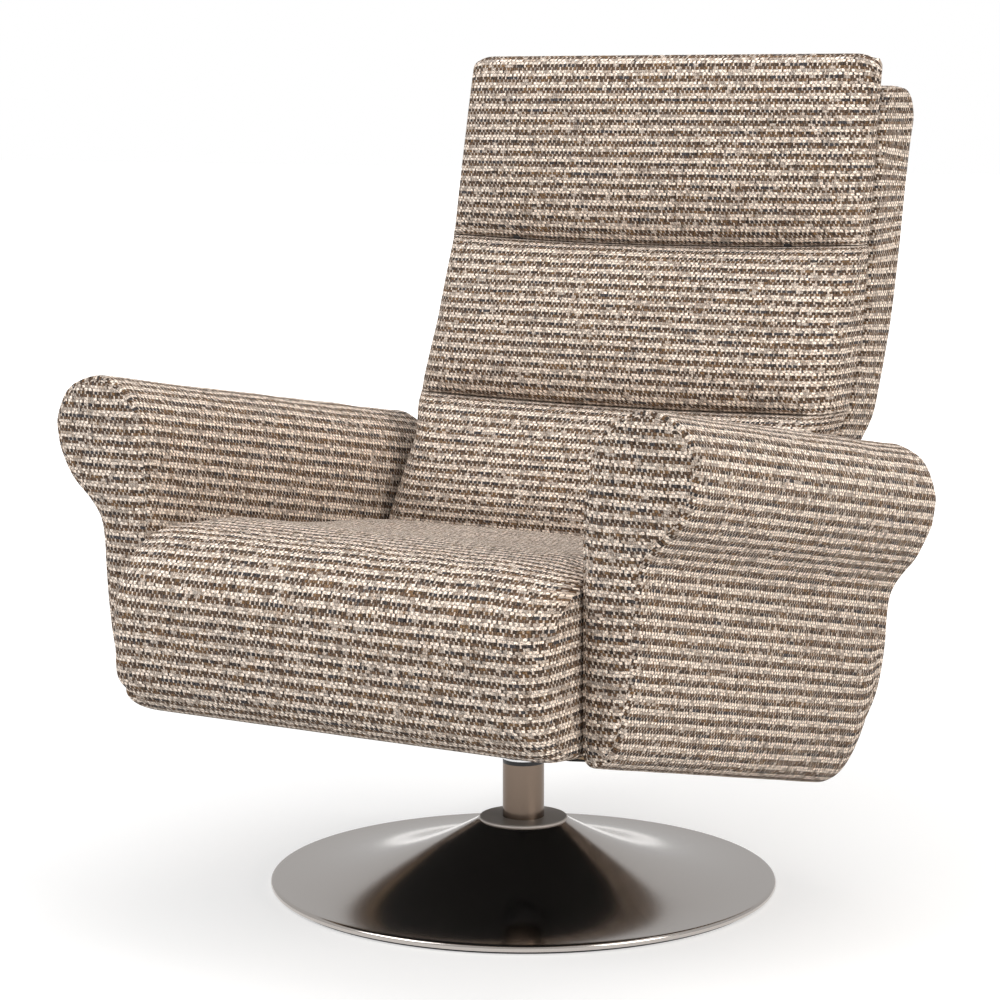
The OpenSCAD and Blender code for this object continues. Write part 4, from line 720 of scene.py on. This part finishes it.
line, t, setback = crease_line(np.array([joint_y, joint_z]), low_crease - gap, 0.0001, crease_r, 26)
sweep = np.radians(np.linspace(165, 133.5, hidden_points))
sweep_r = math.hypot(pivot[0] - joint_y, joint_z - pivot[1]) - 0.0006
hidden = pivot + sweep_r * np.stack([np.cos(sweep), np.sin(sweep)], -1)
line, t, setback = (values[quarter_points:] for values in (line, t, setback))
front = np.concatenate([hidden, line])
rear_z = np.concatenate([np.linspace(0.331, 0.405, hidden_points), line[:, 1]])
rear = np.stack([board_line(rear_z), rear_z], -1)
swell = np.concatenate([np.zeros(hidden_points), lumbar_swell * crown(t, 3.0)])
setback = np.concatenate([np.zeros(hidden_points), setback * (t > 0.5)])
lumbar = pad_piece("lumbar_cushion_tweed", front, rear, swell, side_line(front[:, 1]), 0.30, 21, setback,
                   sags=(0.0, low_sag))
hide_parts("lumbar_cushion")
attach(lumbar, "backrest")

line, t, setback = crease_line(low_crease + gap, high_crease - gap, crease_r, crease_r, 28)
rear = np.stack([board_line(line[:, 1]), line[:, 1]], -1)
middle = pad_piece("middle_cushion_tweed", line, rear, middle_swell * crown(t, 3.0), side_line(line[:, 1]),
                   0.55, 22, setback, sags=(low_sag, high_sag))
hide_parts("middle_cushion")
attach(middle, "backrest")

line, t, setback = crease_line(high_crease + gap, top, crease_r, head_top_r, 30)
top_fall = edge_fall((1 - t) * np.linalg.norm(top - high_crease), head_top_r)
rear = np.stack([board_line(line[:, 1]) - top_fall, line[:, 1]], -1)
head = pad_piece("head_cushion_tweed", line, rear, head_swell * crown(t * 0.95, 3.0),
                 side_line(line[:, 1]) - head_narrowing * t, 0.80, 23, setback * (t < 0.5),
                 top_bulge=0.001, top_bow=0.007, sags=(high_sag, 0.0))
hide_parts("head_cushion")
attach(head, "headrest")


# Back shell: the thick upholstered outer back behind the boards. One cover is stretched round the foam and
# turns over a rounded top edge.

board_gap, shell_full = 0.0188, 0.108
shell_top, shell_round, shell_narrowing = 0.911, 0.042, 0.005
foot_angle, foot_in, foot_out = math.radians(315), 0.027, 0.071
shell_z = np.array([0.343, 0.398, 0.4535, 0.528, 0.603, 0.655, 0.704, 0.764, 0.877, shell_top])
shell_thick = shell_full * np.array([0.4, 0.58, 0.7, 0.8, 0.8, 0.78, 0.85, 0.9, 0.94, 1.0])
sag = shell_thick * 0.18 * np.clip(1 - np.arange(10) / 8, 0, 1)
front = np.stack([board_line(shell_z) + board_gap, shell_z], -1)
rear = np.stack([board_line(shell_z) + board_gap + shell_thick, shell_z - sag], -1)
foot_way = np.array([math.cos(foot_angle), math.sin(foot_angle)])
front = np.concatenate([[pivot + foot_way * foot_in], front])
rear = np.concatenate([[pivot + foot_way * foot_out], rear])
top_a = np.radians(np.linspace(8, 90, 10))
top_z = shell_top + shell_round * np.sin(top_a)
top_in = shell_round * (1 - np.cos(top_a))
many = np.linspace(0, len(front) - 1, 70)
pick = np.arange(len(front))


def even(points, rounds):
    """The same line with many points, rounded by rounds of a running mean and fixed at its ends."""
    line = np.stack([np.interp(many, pick, points[:, k]) for k in (0, 1)], -1)
    for _ in range(rounds):
        line[1:-1] = (line[:-2] + 2 * line[1:-1] + line[2:]) / 4
    return line


top_front = np.stack([board_line(top_z) + board_gap + top_in / 4, top_z], -1)
top_rear = np.stack([board_line(top_z) + board_gap + shell_full - top_in, top_z], -1)
front_line = np.concatenate([even(front, 0), top_front])
rear_line = np.concatenate([even(rear, 14), top_rear])
shell = pad_piece("back_shell_tweed", front_line, rear_line, 0 * front_line[:, 0],
                  side_line(front_line[:, 1]) - shell_narrowing, 1.2, 31,
                  front_r=0.008, rear_r=0.024, top_bulge=0.003)
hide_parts("back_shell")
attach(shell, "backrest")


# Rear panel: a board bent round the heel of the seat box between the arms. It is covered in the tweed and
# closes the box below the outer back.

panel_a = np.radians(np.linspace(-90, 0, 18))
panel_c, panel_in, panel_out = np.array([0.147, 0.228]), 0.0705, 0.0835
panel_half, panel_y, panel_low, panel_high = 0.2805, 0.0895, 0.1567, 0.1705
outer_line = panel_c + panel_out * np.stack([np.cos(panel_a), np.sin(panel_a)], -1)
inner_line = panel_c + panel_in * np.stack([np.cos(panel_a), np.sin(panel_a)], -1)
outline = np.concatenate([
    [[panel_y, panel_low]], outer_line, [[0.2305, 0.262], [0.2275, 0.2695], [0.2205, 0.2695], [0.2175, 0.262]],
    inner_line[::-1], [[panel_y, panel_high], [panel_y, panel_low]]])
outline_run = lengths(outline)
px = np.linspace(-panel_half, panel_half, 60)
panel_grid = np.stack([px[:, None] + 0 * outline_run[None], outline[None, :, 0] + 0 * px[:, None],
                       outline[None, :, 1] + 0 * px[:, None]], -1)
panel_chart = np.stack([px[:, None] + 0 * outline_run[None], outline_run[None] + 0 * px[:, None]], -1)
panel_caps = []
for end in (0, -1):
    ring = panel_grid[end]
    radius = np.hypot(ring[:, 1] - panel_c[0], ring[:, 2] - panel_c[1])
    pull = (0.077 / np.maximum(radius, 0.02))[:, None]
    spine = np.concatenate([ring[:, :1], panel_c + (ring[:, 1:] - panel_c) * pull], -1)
    low_run = ring[:, 1] < panel_c[0]
    spine[low_run, 1], spine[low_run, 2] = ring[low_run, 1], 0.172
    panel_caps.append(cap(ring, ring[:, 1:], spine, spine[:, 1:], 2, (0, 0, 0)))
panel = piece_of("rear_panel_tweed", [(panel_grid, panel_chart)] + panel_caps, cloth)
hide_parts("rear_panel")
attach(panel, "seat")


# Studio: a pale floor under soft light, seen from the photograph's place. The floor glows a little for
# the camera alone, so that it is white and keeps the shadow.

floor_mesh = bpy.data.meshes.new("studio_floor")
floor_half = 30
floor_corners = [(a * floor_half, b * floor_half, 0) for a, b in ((-1, -1), (1, -1), (1, 1), (-1, 1))]
floor_mesh.from_pydata(floor_corners, [], [(0, 1, 2, 3)])
floor = bpy.data.objects.new("studio_floor", floor_mesh)
bpy.context.scene.collection.objects.link(floor)
floor_paint, shader, add, link = nodes_of("studio_floor_white")
shader.inputs["Base Color"].default_value = (0.62, 0.62, 0.62, 1)
shader.inputs["Roughness"].default_value = 0.9
shader.inputs["Specular IOR Level"].default_value = 0.1
shader.inputs["Emission Color"].default_value = (1, 1, 1, 1)
rays = add("ShaderNodeLightPath").outputs
seen = calc(add, "MAXIMUM", rays["Is Camera Ray"], rays["Is Glossy Ray"])
place = add("ShaderNodeTexCoord").outputs["Object"]
far = add("ShaderNodeVectorMath", {0: place}, operation="LENGTH").outputs["Value"]
glow = add("ShaderNodeMapRange", {0: far, 1: 0.9, 2: 3.0, 3: 0.45, 4: 1.2}).outputs[0]
link(calc(add, "MULTIPLY", seen, glow), "Emission Strength")
floor_mesh.materials.append(floor_paint)

world = bpy.data.worlds.new("studio_light")
bpy.context.scene.world = world
world.use_nodes = True
tree = world.node_tree
light_path = tree.nodes.new("ShaderNodeLightPath")
either = tree.nodes.new("ShaderNodeMath")
either.operation = "MAXIMUM"
tree.links.new(light_path.outputs["Is Camera Ray"], either.inputs[0])
tree.links.new(light_path.outputs["Is Transmission Ray"], either.inputs[1])
strength = tree.nodes.new("ShaderNodeMapRange")
strength.inputs["To Min"].default_value = 0.55
strength.inputs["To Max"].default_value = 1.0
tree.links.new(either.outputs[0], strength.inputs[0])
tree.links.new(strength.outputs[0], tree.nodes["Background"].inputs["Strength"])
tree.nodes["Background"].inputs["Color"].default_value = (1, 1, 1, 1)


def lamp(name, place, aim, size, power, tint=(1, 1, 1)):
    """Square soft box that faces a point."""
    light = bpy.data.lights.new(name, "AREA")
    light.shape, light.size, light.energy, light.color = "SQUARE", size, power, tint
    made = bpy.data.objects.new(name, light)
    bpy.context.scene.collection.objects.link(made)
    made.location = place
    way = np.subtract(aim, place)
    made.rotation_euler = (math.atan2(math.hypot(way[0], way[1]), -way[2]), 0, math.atan2(-way[0], way[1]))
    return made


lamp("key_soft_box", (-1.9, -3.0, 2.8), (0, 0, 0.4), 2.2, 72)
lamp("side_soft_box", (3.4, -0.6, 1.7), (0, 0, 0.35), 1.8, 58, (1.0, 0.95, 0.89))
lamp("top_soft_box", (0.2, 0.6, 3.4), (0, 0, 0.4), 2.4, 40)

lens = bpy.data.cameras.new("studio_camera")
lens.sensor_width = 36
lens.lens = 104.04
camera = bpy.data.objects.new("studio_camera", lens)
bpy.context.scene.collection.objects.link(camera)
camera.location = (1.75, -2.92, 0.942)
camera.rotation_euler = (math.radians(82.06), 0, math.radians(31.41))
bpy.context.scene.camera = camera
bpy.context.scene.view_settings.view_transform = "Standard"
